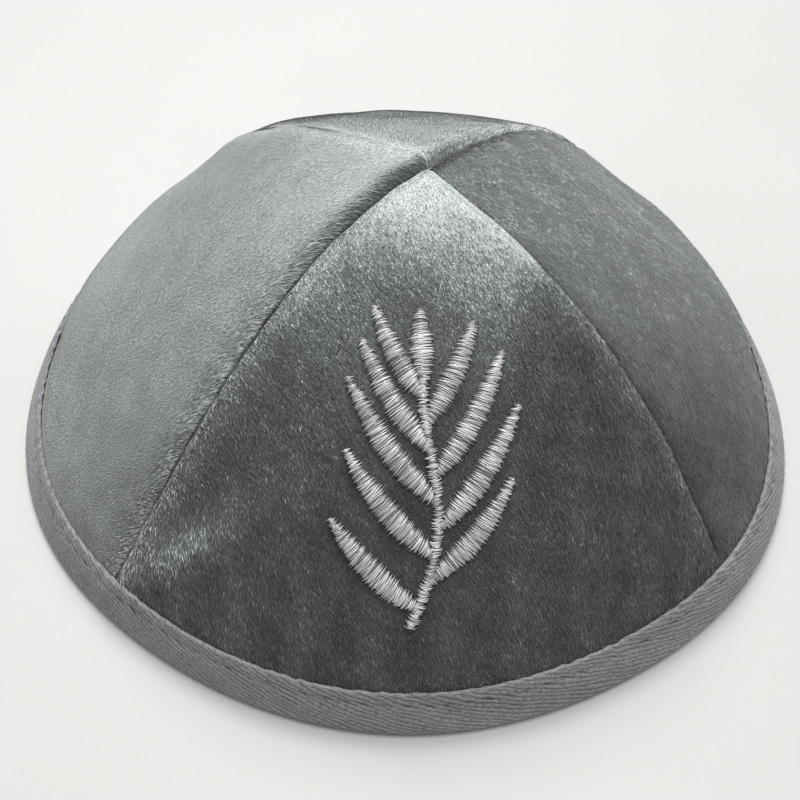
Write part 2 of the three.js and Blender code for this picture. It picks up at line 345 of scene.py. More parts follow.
CUTS = (
    Cut(
        "front", sink=0, pile=SHORT_PILE, nap=(12, 34, -4), light=0.155, contrast=1,
        first=Edge(dip=(0.3, 0.3, 0.15), roll=(0.05, 0.1, 0.12), band=(0.1, 0.24, 0.2)),
        last=Edge(
            proud=(0.5, 0.6, 0.3), dip=(0.1, 0.05, 0.05), roll=(0.25, 0.12, 0.02), band=(0.1, 0.14, 0.02),
        ),
        folds=(
            Fold((-0.86, 0.9), (-0.64, 0.7), rise=0.7, reach=4),
            Fold((-0.99, 0.99), (-0.88, 0.95), rise=0.4, reach=3),
        ),
        sheen_patches=(
            SheenPatch(-0.1, 6, wide=18, long=20, change=0.86),
            SheenPatch(0.75, 26, wide=9, long=20, change=0.36, turn=-20),
            SheenPatch(-0.8, 32, wide=10, long=18, change=0.25, turn=25),
            SheenPatch(-0.7, 54, wide=12, long=20, change=0.08),
            SheenPatch(-0.81, 84, wide=2.8, long=15, change=0.32, turn=-49),
            SheenPatch(-0.62, 88, wide=20, long=12, change=0.05),
            SheenPatch(0.6, 80, wide=30, long=30, change=0.04),
        ),
    ),
    Cut(
        "right", sink=1.6, pile=LAID_PILE, nap=(-60, -58, -75), light=0.37, contrast=0.6,
        first=Edge(dip=(0.15, 0.1, 0.05), roll=(-0.05, -0.08, -0.1), band=(0.06, -0.05, -0.08)),
        last=Edge(proud=(0, 0.2, 0.3), dip=(0.4, 0.2, 0.1), roll=(-0.1, 0, 0)),
        folds=(
            Fold((0.75, 0.52), (0.45, 0.66), rise=-1.2, reach=9),
            Fold((0.1, 0.88), (0.75, 0.88), rise=2.2, reach=12),
        ),
        sheen_patches=(
            SheenPatch(-0.75, 84, wide=28, long=30, change=-0.22),
            SheenPatch(0.2, 15, wide=34, long=28, change=0.08),
        ),
    ),
    Cut(
        "back", sink=2.2, pile=LAID_PILE, nap=(170, 178, 178), light=0.71, contrast=0.12,
        first=Edge(
            # The roll below zero is painted shade on the shoulder wall by the apex.
            proud=(2.6, 0.5, 0.2), dip=(1.3, 0.35, 0.2), turn=(0.8, 0.5, 0.4), roll=(-0.6, 0.15, 0.1),
            band=(0.25, 0.2, 0.1), comb=(0.1, 0.4, 0.2), fluff=(0.15, 0.3, 0.1),
        ),
        last=Edge(proud=(0, 0.3, 0.3), dip=(0, 0, 0.1), roll=(0.08, 0.06, 0), band=(0.1, 0.06, 0)),
        sheen_patches=(
            SheenPatch(0, 90, wide=80, long=42, change=-0.34),
            SheenPatch(1, 60, wide=24, long=40, change=-0.1),
        ),
    ),
    Cut(
        "left", sink=2.4, pile=LAID_PILE, nap=(172, 178, 168), light=0.62, contrast=0.12,
        first=Edge(proud=(0, 0.3, 0.3), dip=(0, 0, 0.1), roll=(0.08, 0.06, 0), band=(0.1, 0.06, 0)),
        last=Edge(
            # The roll below zero is painted shade on the shoulder wall by the apex.
            proud=(3.2, 1.2, 0.4), dip=(1.3, 0.5, 0.25), turn=(0.9, 0.45, 0.35), roll=(-0.75, 0, 0.1),
            band=(0.12, 0.05, -0.05), comb=(-0.1, 0.6, 0.8), fluff=(0.1, 1.4, 1.1),
        ),
        folds=(
            Fold((0.2, 0.88), (0.75, 0.8), rise=-0.6, reach=10),
            Fold((-0.8, 0.88), (-0.15, 0.88), rise=1.8, reach=12),
        ),
        sheen_patches=(
            SheenPatch(0.3, 12, wide=26, long=24, change=0.14),
            SheenPatch(-0.3, 85, wide=30, long=30, change=0.13),
            SheenPatch(0.88, 86, wide=12, long=22, change=-0.1),
        ),
    ),
)


@dataclass(frozen=True)
class CrownShape:
    """The crown's form: one curve from apex to tape, squared a little towards the seams."""

    height: float = 60.2
    apex_reach: float = 40.9
    apex_fall: float = 2
    side_reach: float = 30.1
    side_slope: float = 53.5
    square_at_apex: float = 0.42
    square_halfway: float = -0.34
    mean_square_gain: float = 0.13
    apex_lean: Pair = (1.2, -1.4)
    waist_lean: Pair = (-2.1, 0.8)
    front: float = -90
    outline_steps: int = 720
    tape_edge_height: float = 9
    rim_height: float = 1.5
    wall: float = 2
    tape_wall: float = 0.8
    clearance: float = 0.3
    skirt_foot: float = 2.4
    seam_gap: float = 0.08
    shoulder_roll: float = 1.6
    shoulder_reach: float = 16
    relief_fade: float = 0.06
    pucker: float = 0.16
    pucker_pitch: float = 6.5
    pucker_wander: float = 17
    pucker_reach: float = 4.5
    full_dip: float = 0.4
    slack: float = 0.14
    slack_pitch: float = 19

    def around(self, column: str, direction: Points) -> Points:
        """Reads a column of the rim table as a smooth closed curve.

        Args:
            column: The column's name.
            direction: Directions, in radians.

        Returns:
            Radii, in millimetres.
        """
        values = np.array([getattr(row, column) for row in RIM_ROWS])
        place = (direction / math.tau) % 1 * len(values)
        row = np.floor(place).astype(int)
        f = place - row
        a, b, c, d = (values[(row + k) % len(values)] for k in (-1, 0, 1, 2))
        slope_in = (c - a) / 2
        slope_out = (d - b) / 2
        start = (2 * f**3 - 3 * f**2 + 1) * b + (f**3 - 2 * f**2 + f) * slope_in
        return start + (3 * f**2 - 2 * f**3) * c + (f**3 - f**2) * slope_out

    def hem(self, direction: Points) -> tuple[Points, Points, Points, Points]:
        """Gives the tape's outer face in the plane of radius and height.

        Args:
            direction: Directions, in radians.

        Returns:
            The face's top edge and foot, and the directions down it and out of it.
        """
        level = np.ones_like(direction)
        edge = np.stack([self.around("tape_edge", direction), self.tape_edge_height * level], -1)
        foot = np.stack([self.around("rim", direction), self.rim_height * level], -1)
        down = unit(foot - edge)
        out = np.stack([-down[..., 1], down[..., 0]], -1)
        return edge, foot, down, out

    def profile(self, direction: Points, t: Points) -> tuple[Points, Points]:
        """Walks along the crown's outer curve.

        Args:
            direction: Directions, in radians.
            t: Places on the curve, from 0 at the apex to 1 at the tape's edge.

        Returns:
            Places and unit tangents, in the plane of radius and height.
        """
        edge, _, _, out = self.hem(direction)
        slope = math.radians(self.side_slope)
        apex = np.array([0, self.height])
        level = np.array([self.apex_reach, self.height - self.apex_fall])
        end = edge - (self.tape_wall + self.clearance) * out
        steep = end + self.side_reach * np.array([-math.cos(slope), math.sin(slope)])
        t = np.asarray(t)[..., None]
        u = 1 - t
        place = u**3 * apex + 3 * u**2 * t * level + 3 * u * t**2 * steep + t**3 * end
        run = u**2 * (level - apex) + 2 * u * t * (steep - level) + t**2 * (end - steep)
        return place, unit(run)

    def radius(self, t: Points) -> Points:
        """The front profile's radius at each place, from which the seams are counted."""
        front = np.full(np.shape(t), math.radians(self.front))
        return self.profile(front, t)[0][..., 0]

    def share(self, t: Points) -> Points:
        """The part of the way out from the apex to the tape."""
        return self.radius(t) / self.radius(np.array(1.0))

    def seam_direction(self, index: int, w: Points) -> Points:
        """Follows a seam outwards.

        Args:
            index: The seam, counted on past the last one for another turn.
            w: Parts of the way out from the apex.

        Returns:
            Directions, in radians.
        """
        seam = SEAMS[index % len(SEAMS)]
        turns = index // len(SEAMS) * 360
        return np.radians(seam.direction + turns + seam.foot * w + seam.middle * np.sin(math.pi * w))

    def half_angle(self, index: int, w: Points) -> Points:
        """Half the angle between a panel's two seams."""
        return (self.seam_direction(index + 1, w) - self.seam_direction(index, w)) / 2

    def half_width(self, index: int, along: Points) -> Points:
        """Half a panel's width along its cloth, in millimetres."""
        t = np.minimum(along, 1)
        return self.radius(t) * self.half_angle(index, self.share(t))

    def down_table(self, steps: int = 1500) -> tuple[Points, Points]:
        """Measures the front profile along the cloth.

        Args:
            steps: How many places are measured.

        Returns:
            The places, and their distances from the apex.
        """
        t = np.linspace(0, 1, steps)
        place, _ = self.profile(np.full(steps, math.radians(self.front)), t)
        return t, run_along(place)

    def along_at(self, down: Points) -> Points:
        """The place on the curve that lies so many millimetres of cloth below the apex."""
        t, run = self.down_table()
        return np.interp(down, run, t)

    def down_at(self, along: Points) -> Points:
        """Millimetres of cloth from the apex down to a place on the curve."""
        t, run = self.down_table()
        return np.interp(along, t, run)

    def seam_relief(self, index: int, across: Points, w: Points, half: Points, down: Points) -> Points:
        """How far the cloth stands off the plain curve because of the seams beside it.

        Args:
            index: The panel.
            across: Places from the first seam, -1, to the next, 1.
            w: Parts of the way out from the apex.
            half: Half the panel's width there.
            down: Millimetres of cloth from the apex.

        Returns:
            Heights, in millimetres.
        """
        rise = np.zeros(np.broadcast(across, w).shape)
        wander = ripple(down, down * 0, self.pucker_wander, seed=Seed.PUCKERS + index)
        wave = np.sin(math.tau * down / self.pucker_pitch + wander)
        for way, edge in CUTS[index].edges:
            distance = half * (1 + way * across)
            proud, dip, turn = (between(row, w) for row in (edge.proud, edge.dip, edge.turn))
            shoulder = 1 - bell(distance, self.shoulder_roll)
            rise = rise + proud * shoulder * np.exp(-distance / self.shoulder_reach)
            rise = rise - dip * bell(distance, turn)
            drawn = np.minimum(1, dip / self.full_dip)
            rise = rise + self.pucker * drawn * wave * np.exp(-distance / self.pucker_reach)
        return rise

    def fold_relief(self, index: int, place: Points) -> Points:
        """Adds up a panel's folds and dents.

        Args:
            index: The panel.
            place: Points of its plain surface.

        Returns:
            Heights, in millimetres.
        """
        rise = np.zeros(place.shape[:-1])
        for fold in CUTS[index].folds:
            start = self.point(index, *fold.start, relief=Relief.PLAIN)
            end = self.point(index, *fold.end, relief=Relief.PLAIN)
            run = end - start
            part = np.clip(((place - start) @ run) / (run @ run), 0, 1)
            distance = np.linalg.norm(place - start - part[..., None] * run, axis=-1)
            rise = rise + fold.rise * bell(distance, fold.reach)
        return rise

    def point(
        self, index: int, across: Points, along: Points, depth: float | Points = 0,
        relief: Relief = Relief.SEWN,
    ) -> Points:
        """Gives points of a panel.

        Args:
            index: The panel.
            across: Places from the first seam, -1, to the next, 1.
            along: 0 at the apex, 1 at the tape's edge, 2 at the raw edge inside the tape.
            depth: Millimetres inwards from the outer face.
            relief: Whether the cloth's own relief is added.

        Returns:
            Points in millimetres, in the object's frame.
        """
        across, along = np.broadcast_arrays(np.asarray(across, float), np.asarray(along, float))
        t = np.minimum(along, 1)
        radius = self.radius(t)
        w = self.share(t)
        half_angle = self.half_angle(index, w)
        gap_angle = np.arcsin(np.minimum(1, self.seam_gap / 2 / radius))
        direction = self.seam_direction(index, w) + half_angle + across * (half_angle - gap_angle)
        place, tangent = self.profile(direction, t)
        out = np.stack([-tangent[..., 1], tangent[..., 0]], -1)
        _, _, down, hem_out = self.hem(direction)
        sleeve = (along > 1)[..., None]
        fall = ((place[..., 1] - self.skirt_foot) / -down[..., 1])[..., None]
        place = np.where(sleeve, place + down * fall * (along[..., None] - 1), place)
        out = np.where(sleeve, hem_out, out)

        squareness = self.square_at_apex * (1 - w * w) + self.square_halfway * 2 * w * (1 - w)
        corner = 1 / np.cos(across * math.pi / 4) - 1
        stretch = (1 + squareness * corner) / (1 + squareness * self.mean_square_gain)
        place = place * np.stack([stretch, np.ones_like(stretch)], -1)
        spoke = spokes(direction)
        lean = np.array(self.apex_lean) * (1 - w * w)[..., None]
        lean = lean + np.array(self.waist_lean) * (4 * w * (1 - w))[..., None]

        rise = -CUTS[index].sink * np.cos(across * math.pi / 2) * np.sin(math.pi * w)
        if relief is Relief.SEWN:
            sunk = place + out * rise[..., None]
            plain = np.concatenate([spoke * sunk[..., :1] + lean, sunk[..., 1:]], -1)
            half = radius * half_angle
            cloth_down = self.down_at(t)
            bumps = self.seam_relief(index, across, w, half, cloth_down) + self.fold_relief(index, plain)
            slack = ripple(across * half, cloth_down, self.slack_pitch, seed=Seed.SLACK + index)
            rise = rise + (bumps + self.slack * slack) * smooth_step(1 - t, 0, self.relief_fade)
        place = place + out * (rise - depth)[..., None]
        flat = spoke * place[..., :1] + lean
        return np.concatenate([flat, place[..., 1:]], -1) + self.shift()

    def shift(self) -> Points:
        """Moves the rim's outline to the middle of the frame, as the solids have it.

        Returns:
            The move, in millimetres.
        """
        direction = np.linspace(0, math.tau, self.outline_steps, endpoint=False)
        outline = self.around("rim", direction)[:, None] * spokes(direction)
        middle = (outline.min(0) + outline.max(0)) / 2
        return np.array([-middle[0], -middle[1], 0])

    def surface(self, index: int, across: Points, along: Points) -> tuple[Points, Points, Points]:
        """Gives points of a panel's outer face with the cloth's own directions there.

        Args:
            index: The panel.
            across: Places from seam to seam.
            along: Places from apex to tape.

        Returns:
            Points, unit directions down the cloth and unit normals.
        """
        step = 0.002
        here = self.point(index, across, along)
        below = self.point(index, across, np.minimum(along + step, 1))
        above = self.point(index, across, np.maximum(along - step, step))
        after = self.point(index, np.minimum(across + step, 1), along)
        before = self.point(index, np.maximum(across - step, -1), along)
        down = unit(below - above)
        normal = unit(np.cross(down, after - before))
        return here, down, normal


@dataclass
class Grid:
    """A sheet of four-sided faces, closed round in its columns."""

    points: Points

    @property
    def columns(self) -> int:
        """How many columns go round."""
        return self.points.shape[1]

    def index(self, row: Points, column: Points) -> Points:
        """The number of a vertex, with columns counted round."""
        return row * self.columns + column % self.columns

    def cells(self) -> tuple[Points, Points]:
        """Numbers the faces.

        Returns:
            Every face's row, and every face's column.
        """
        rows = np.arange(self.points.shape[0] - 1)
        r, c = np.meshgrid(rows, np.arange(self.columns), indexing="ij")
        return r.ravel(), c.ravel()

    def faces(self) -> Points:
        """Makes the faces.

        Returns:
            Each face's four vertices, from its upper first corner downwards.
        """
        r, c = self.cells()
        corners = (self.index(r, c), self.index(r + 1, c), self.index(r + 1, c + 1), self.index(r, c + 1))
        return np.stack(corners, -1)

    def places(self, u: Points, v: Points) -> Points:
        """Spreads one value for each column line and row line over the faces' corners.

        Args:
            u: Values at the column lines, one more than there are columns.
            v: Values at the rows.

        Returns:
            Pairs of values, one for each corner of each face.
        """
        r, c = self.cells()
        across = np.stack([u[c], u[c], u[c + 1], u[c + 1]], -1)
        down = np.stack([v[r], v[r + 1], v[r + 1], v[r]], -1)
        return np.stack([across, down], -1)


def bake_cells(count: int, own_map: Points) -> Points:
    """Gives each of many small copies a cell of its own in the bake map.

    Args:
        count: How many copies there are.
        own_map: One copy's map from 0 to 1, a pair for each corner of each face.

    Returns:
        Pairs of values, one for each corner of each copy's faces.
    """
    columns = math.ceil(math.sqrt(count))
    number = np.arange(count)
    cell = np.stack([number % columns, number // columns], -1)
    return ((cell[:, None, None] + own_map[None]) / columns).reshape(-1, 2)


def new_piece(
    name: str,
    points: Points,
    faces: Points,
    finishes: list[bpy.types.Material],
    maps: dict[str, Points] | None = None,
    values: dict[str, Points] | None = None,
    finish_index: Points | None = None,
    smooth: bool = True,
) -> bpy.types.Object:
    """Makes one piece of the object from arrays, riding on the body.

    Args:
        name: The piece's name.
        points: Its vertices, in millimetres.
        faces: The numbers of each face's vertices.
        finishes: Its materials.
        maps: UV maps by name, a pair of numbers for each corner of each face.
        values: One number for each vertex, by attribute name.
        finish_index: Which material each face has.
        smooth: Whether the faces are shaded smooth.

    Returns:
        The new object.
    """
    mesh = bpy.data.meshes.new(name)
    mesh.from_pydata(points * MM, [], faces.tolist())
    for map_name, places in (maps or {}).items():
        layer = mesh.uv_layers.new(name=map_name)
        layer.data.foreach_set("uv", places.astype(np.float32).ravel())
    for value_name, numbers in (values or {}).items():
        attribute = mesh.attributes.new(value_name, "FLOAT", "POINT")
        attribute.data.foreach_set("value", numbers.astype(np.float32).ravel())
    for finish in finishes:
        mesh.materials.append(finish)
    if finish_index is not None:
        mesh.polygons.foreach_set("material_index", finish_index.astype(np.int32))
    mesh.polygons.foreach_set("use_smooth", np.full(len(mesh.polygons), smooth))
    mesh.update()
    piece = bpy.data.objects.new(name, mesh)
    bpy.context.scene.collection.objects.link(piece)
    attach(piece, BODY)
    return piece


class Tree:
    """A material's nodes, added and joined with few words."""

    def __init__(self, name: str) -> None:
        """Starts a material with one Principled shader.

        Args:
            name: The material's name.
        """
        self.material = bpy.data.materials.new(name)
        self.material.use_nodes = True
        self.nodes = self.material.node_tree.nodes
        self.links = self.material.node_tree.links
        self.shader = self.nodes["Principled BSDF"]

    def set(self, **sockets: float) -> None:
        """Sets plain numbers on the shader, with underscores for the spaces in their names."""
        for name, value in sockets.items():
            self.shader.inputs[name.replace("_", " ")].default_value = value

    def add(self, kind: str, **settings: object) -> bpy.types.Node:
        """Adds a node.

        Args:
            kind: The node's type.
            settings: Its properties, by name.

        Returns:
            The node.
        """
        node = self.nodes.new(kind)
        for name, value in settings.items():
            setattr(node, name, value)
        return node

    def feed(self, source: bpy.types.NodeSocket, node: bpy.types.Node, socket: str | int) -> None:
        """Joins an output to an input."""
        self.links.new(source, node.inputs[socket])

    def attribute(self, name: str) -> bpy.types.NodeSocket:
        """Reads one of the piece's own numbers."""
        return self.add("ShaderNodeAttribute", attribute_name=name).outputs["Fac"]

    def stretched_map(self, map_name: str, scale: Pair) -> bpy.types.NodeSocket:
        """Reads a UV map that is in millimetres.

        Args:
            map_name: The map.
            scale: How much it is scaled in its two directions.

        Returns:
            The scaled map's socket.
        """
        source = self.add("ShaderNodeUVMap", uv_map=map_name).outputs["UV"]
        mapping = self.add("ShaderNodeMapping")
        mapping.inputs["Scale"].default_value = (*scale, 1)
        self.feed(source, mapping, "Vector")
        return mapping.outputs["Vector"]

    def group(self, group: bpy.types.NodeTree, **values: float) -> bpy.types.Node:
        """Places a node group.

        Args:
            group: The group.
            values: Its inputs, with underscores for the spaces in their names.

        Returns:
            The node.
        """
        node = self.add("ShaderNodeGroup", node_tree=group)
        for name, value in values.items():
            node.inputs[name.replace("_", " ")].default_value = value
        return node

    def ramp(self, source: bpy.types.NodeSocket, stops: list[tuple[float, Colour]]) -> bpy.types.NodeSocket:
        """Turns a value into a colour.

        Args:
            source: The value, from 0 to 1.
            stops: Places and their colours, in order.

        Returns:
            The colour's socket.
        """
        node = self.add("ShaderNodeValToRGB")
        elements = node.color_ramp.elements
        elements.remove(elements[-1])
        for k, (place, colour) in enumerate(stops):
            element = elements[0] if k == 0 else elements.new(place)
            element.position = place
            element.color = (*colour, 1)
        self.feed(source, node, "Fac")
        return node.outputs["Color"]

    def tint(self, colour: bpy.types.NodeSocket, value: bpy.types.NodeSocket) -> bpy.types.NodeSocket:
        """Multiplies a colour by a grey value.

        Args:
            colour: The colour.
            value: The grey value.

        Returns:
            The product's socket.
        """
        mix = self.add("ShaderNodeMix", data_type="RGBA", blend_type="MULTIPLY")
        mix.inputs["Factor"].default_value = 1
        self.feed(colour, mix, 6)
        self.feed(value, mix, 7)
        return mix.outputs[2]

    def bump(self, height: bpy.types.NodeSocket, depth: float) -> None:
        """Makes relief from a height.

        Args:
            height: The height, from 0 to 1.
            depth: How many millimetres deep it is.
        """
        node = self.add("ShaderNodeBump")
        node.inputs["Distance"].default_value = depth * MM
        self.feed(height, node, "Height")
        self.feed(node.outputs["Normal"], self.shader, "Normal")


def fleck_group() -> bpy.types.NodeTree:
    """Builds the short streaks that the velvet's ground and the yarns show.

    Returns:
        A node group that turns a stretched map into a grey value and a height.
    """
    group = bpy.data.node_groups.new("fibre_flecks", "ShaderNodeTree")
    face = group.interface
    face.new_socket("Vector", in_out="INPUT", socket_type="NodeSocketVector")
    for name, value in (("Scale", 1), ("Dark", 0.6), ("Bright", 1.4), ("Detail", 2)):
        socket = face.new_socket(name, in_out="INPUT", socket_type="NodeSocketFloat")
        socket.default_value = value
    face.new_socket("Value", in_out="OUTPUT", socket_type="NodeSocketFloat")
    face.new_socket("Height", in_out="OUTPUT", socket_type="NodeSocketFloat")
    nodes, links = group.nodes, group.links
    given, shown = nodes.new("NodeGroupInput"), nodes.new("NodeGroupOutput")
    noise = nodes.new("ShaderNodeTexNoise")
    noise.inputs["Roughness"].default_value = 0.6
    spread = nodes.new("ShaderNodeMapRange")
    spread.inputs["From Min"].default_value = 0.3
    spread.inputs["From Max"].default_value = 0.72
    links.new(given.outputs["Vector"], noise.inputs["Vector"])
    links.new(given.outputs["Scale"], noise.inputs["Scale"])
    links.new(given.outputs["Detail"], noise.inputs["Detail"])
    links.new(noise.outputs["Fac"], spread.inputs["Value"])
    links.new(given.outputs["Dark"], spread.inputs["To Min"])
    links.new(given.outputs["Bright"], spread.inputs["To Max"])
    links.new(spread.outputs["Result"], shown.inputs["Value"])
    links.new(noise.outputs["Fac"], shown.inputs["Height"])
    return group


@dataclass(frozen=True)
class VelvetFinish:
    """Velvet: a dark ground with streaks, lighter with painted sheen where the pile lies towards
    the light.
    """

    dark: Colour = (0.036, 0.039, 0.038)
    middle: Colour = (0.185, 0.201, 0.190)
    light: Colour = (0.76, 0.80, 0.775)
    roughness: float = 0.55
    sheen: float = 0.25
    streaks: Pair = (3.6, 1.1)
    relief: float = 0.25
    places: Three = (0, 0.45, 1)
    ground_shade: float = 0.8

    def stops(self, shade: float = 1) -> list[tuple[float, Colour]]:
        """The colours from painted shade, where the pile is seen end-on, to painted sheen, where it
        is seen from its side.
        """
        colours = (self.dark, self.middle, self.light)
        return [(place, tuple(shade * c for c in colour)) for place, colour in zip(self.places, colours)]

    def ground(self, flecks: bpy.types.NodeTree) -> bpy.types.Material:
        """The cloth's face under the pile.

        Args:
            flecks: The streak group.

        Returns:
            The material.
        """
        tree = Tree("velvet_ground")
        streak = tree.group(flecks, Scale=1, Dark=0.55, Bright=1.4, Detail=3)
        tree.feed(tree.stretched_map(NAP_MAP, self.streaks), streak, "Vector")
        # The tone's painted sheen and shade, darkened further by ground_shade as painted shade under the
        # tufts.
        colour = tree.ramp(tree.attribute("sheen_and_shade"), self.stops(self.ground_shade))
        tree.feed(tree.tint(colour, streak.outputs["Value"]), tree.shader, "Base Color")
        tree.bump(streak.outputs["Height"], self.relief)
        tree.set(Roughness=0.9, Specular_IOR_Level=0.2, Sheen_Weight=self.sheen, Sheen_Roughness=0.5)
        return tree.material

    def pile(self) -> bpy.types.Material:
        """The tufts that stand on it, each with a tone of its own.

        Returns:
            The material.
        """
        tree = Tree("velvet_pile")
        # Each tuft's tone holds painted sheen, painted shade and painted glints.
        tree.feed(tree.ramp(tree.attribute("tone"), self.stops()), tree.shader, "Base Color")
        tree.set(Roughness=self.roughness, Specular_IOR_Level=0.35)
        tree.set(Sheen_Weight=self.sheen, Sheen_Roughness=0.4)
        return tree.material


@dataclass(frozen=True)
class BackingFinish:
    """The plain woven back of the velvet, inside the cap."""

    dark: Colour = (0.13, 0.14, 0.14)
    light: Colour = (0.21, 0.225, 0.22)
    weft: Pair = (0.66, 4.4)
    warp: Pair = (4.4, 0.66)
    relief: float = 0.2

    def material(self, flecks: bpy.types.NodeTree) -> bpy.types.Material:
        """Builds the material.

        Args:
            flecks: The streak group.

        Returns:
            The material.
        """
        tree = Tree("woven_backing")
        weft = tree.group(flecks, Scale=1, Dark=0.0, Bright=1.0)
        tree.feed(tree.stretched_map(NAP_MAP, self.weft), weft, "Vector")
        warp = tree.group(flecks, Scale=1, Dark=0.75, Bright=1.2)
        tree.feed(tree.stretched_map(NAP_MAP, self.warp), warp, "Vector")
        colour = tree.ramp(weft.outputs["Value"], [(0, self.dark), (1, self.light)])
        tree.feed(tree.tint(colour, warp.outputs["Value"]), tree.shader, "Base Color")
        tree.bump(weft.outputs["Height"], self.relief)
        tree.set(Roughness=0.9, Specular_IOR_Level=0.2)
        return tree.material


@dataclass(frozen=True)
class TwillFinish:
    """Matt cotton twill: bluish grey ribs, with painted shade in the grooves between them and at
    needle holes, and painted light on their crests.
    """

    groove: Colour = (0.035, 0.037, 0.04)
    rib: Colour = (0.212, 0.218, 0.227)
    crest: Colour = (0.312, 0.32, 0.332)
    yarns: Pair = (1.3, 3.4)
    relief: float = 0.25

    def material(self, flecks: bpy.types.NodeTree) -> bpy.types.Material:
        """Builds the material.

        Args:
            flecks: The streak group.

        Returns:
            The material.
        """
        tree = Tree("twill")
        yarn = tree.group(flecks, Scale=1, Dark=0.45, Bright=1.5, Detail=3)
        tree.feed(tree.stretched_map(NAP_MAP, self.yarns), yarn, "Vector")
        colour = tree.ramp(tree.attribute("rib"), [(0, self.groove), (0.5, self.rib), (1, self.crest)])
        tree.feed(tree.tint(colour, yarn.outputs["Value"]), tree.shader, "Base Color")
        tree.bump(yarn.outputs["Height"], self.relief)
        tree.set(Roughness=0.8, Specular_IOR_Level=0.3, Sheen_Weight=0.15, Sheen_Roughness=0.5)
        return tree.material


@dataclass(frozen=True)
class ThreadFinish:
    """Thread with a silky shine, each stitch a little lighter or darker."""

    name: str
    dark: Colour
    light: Colour
    roughness: float
    shine: float

    def material(self) -> bpy.types.Material:
        """Builds the material.

        Returns:
            The material.
        """
        tree = Tree(self.name)
        colour = tree.ramp(tree.attribute("tone"), [(0, self.dark), (1, self.light)])
        tree.feed(colour, tree.shader, "Base Color")
        tree.set(Roughness=self.roughness, Specular_IOR_Level=self.shine)
        tree.set(Sheen_Weight=0.2, Sheen_Roughness=0.3)
        return tree.material


@dataclass(frozen=True)
class TableFinish:
    """A pale, faintly mottled table top with a soft gloss."""

    colour: Colour = (0.535, 0.532, 0.521)
    mottle: Colour = (0.517, 0.514, 0.503)
    mottle_scale: float = 9

    def material(self) -> bpy.types.Material:
        """Builds the material.

        Returns:
            The material.
        """
        tree = Tree("pale_table")
        source = tree.add("ShaderNodeTexCoord").outputs["Object"]
        noise = tree.add("ShaderNodeTexNoise")
        noise.inputs["Scale"].default_value = self.mottle_scale
        tree.feed(source, noise, "Vector")
        colour = tree.ramp(noise.outputs["Fac"], [(0.3, self.mottle), (0.7, self.colour)])
        tree.feed(colour, tree.shader, "Base Color")
        tree.set(Roughness=0.45, Specular_IOR_Level=0.25)
        return tree.material


@dataclass(frozen=True)
class Sprig:
    """The sprig's drawing on the front panel: a swaying stem with alternate leaves."""

    stem_foot: Pair = (-4.5, 87.5)
    stem_tip: Pair = (1, 44.5)
    sway: float = 2.6
    sway_turns: float = 0.75
    stem_width: float = 1.7
    leaf_count: int = 9
    first_leaf: float = 0.7
    bare_tip: float = 0.6
    leaf_lengths: Three = (22, 25.5, 14)
    angle_low: float = 60
    angle_high: float = 36
    leaf_width: float = 4.2
    leaf_end_width: float = 0.2
    leaf_curl: float = 0.2
    leaf_belly: float = 0.85
    leaf_bluntness: float = 0.8
    tip_leaf_part: float = 0.97
    tip_leaf_length: float = 10.5
    outline_steps: int = 24

    def stem(self, part: Points) -> Points:
        """Places on the stem.

        Args:
            part: Parts of its length.

        Returns:
            Pairs, right of the panel's middle and down from the apex.
        """
        part = np.asarray(part, float)
        right = self.stem_foot[0] + (self.stem_tip[0] - self.stem_foot[0]) * part
        right = right + self.sway * np.sin(part * math.tau * self.sway_turns)
        down = self.stem_foot[1] + (self.stem_tip[1] - self.stem_foot[1]) * part
        return np.stack([right, down], -1)

    def leaf(self, base: Points, side: int, length: float, angle: float, q: Points) -> Points:
        """Places down the middle of a leaf.

        Args:
            base: Where it leaves the stem.
            side: 1 to the right, -1 to the left.
            length: Its length.
            angle: Its angle from the stem, in degrees.
            q: Parts of its length.

        Returns:
            Pairs, right and down.
        """
        turn = math.radians(angle)
        right = base[0] + side * length * math.sin(turn) * q * (1 - self.leaf_curl * q)
        down = base[1] - length * math.cos(turn) * q * (1 + self.leaf_curl * q)
        return np.stack([right, down], -1)

    def leaf_width_at(self, q: Points) -> Points:
        """A leaf's width along its length."""
        fullness = np.sin(math.pi * np.clip(q, 0, 1) ** self.leaf_belly) ** self.leaf_bluntness
        return self.leaf_width * (self.leaf_end_width + (1 - self.leaf_end_width) * fullness)

    def strokes(self, steps: int = 60) -> list[tuple[Points, Points, bool]]:
        """Lists every run of stitching.

        Args:
            steps: How finely each is drawn.

        Returns:
            For each its spine, its widths along it, and whether it is the stem.
        """
        q = np.linspace(0, 1, steps)
        runs = [(self.stem(q), np.full(steps, self.stem_width), True)]
        for k in range(self.leaf_count):
            part = (k + self.first_leaf) / (self.leaf_count + self.bare_tip)
            side = 1 if k % 2 else -1
            length = float(between(self.leaf_lengths, part))
            angle = self.angle_low + (self.angle_high - self.angle_low) * part
            runs.append((self.leaf(self.stem(part), side, length, angle, q), self.leaf_width_at(q), False))
        tip = self.leaf(self.stem(self.tip_leaf_part), 1, self.tip_leaf_length, 0, q)
        runs.append((tip, self.leaf_width_at(q), False))
        return runs

    def clearance(self, right: Points, down: Points) -> Points:
        """Measures from places on the panel to the edge of the stitching.

        Args:
            right: Millimetres right of the panel's middle.
            down: Millimetres down from the apex.

        Returns:
            Millimetres, negative inside the stitching.
        """
        nearest = np.full(right.shape, FAR_AWAY)
        for spine, widths, _ in self.strokes(self.outline_steps):
            for (x, y), width in zip(spine, widths):
                nearest = np.minimum(nearest, np.hypot(right - x, down - y) - width / 2)
        return nearest


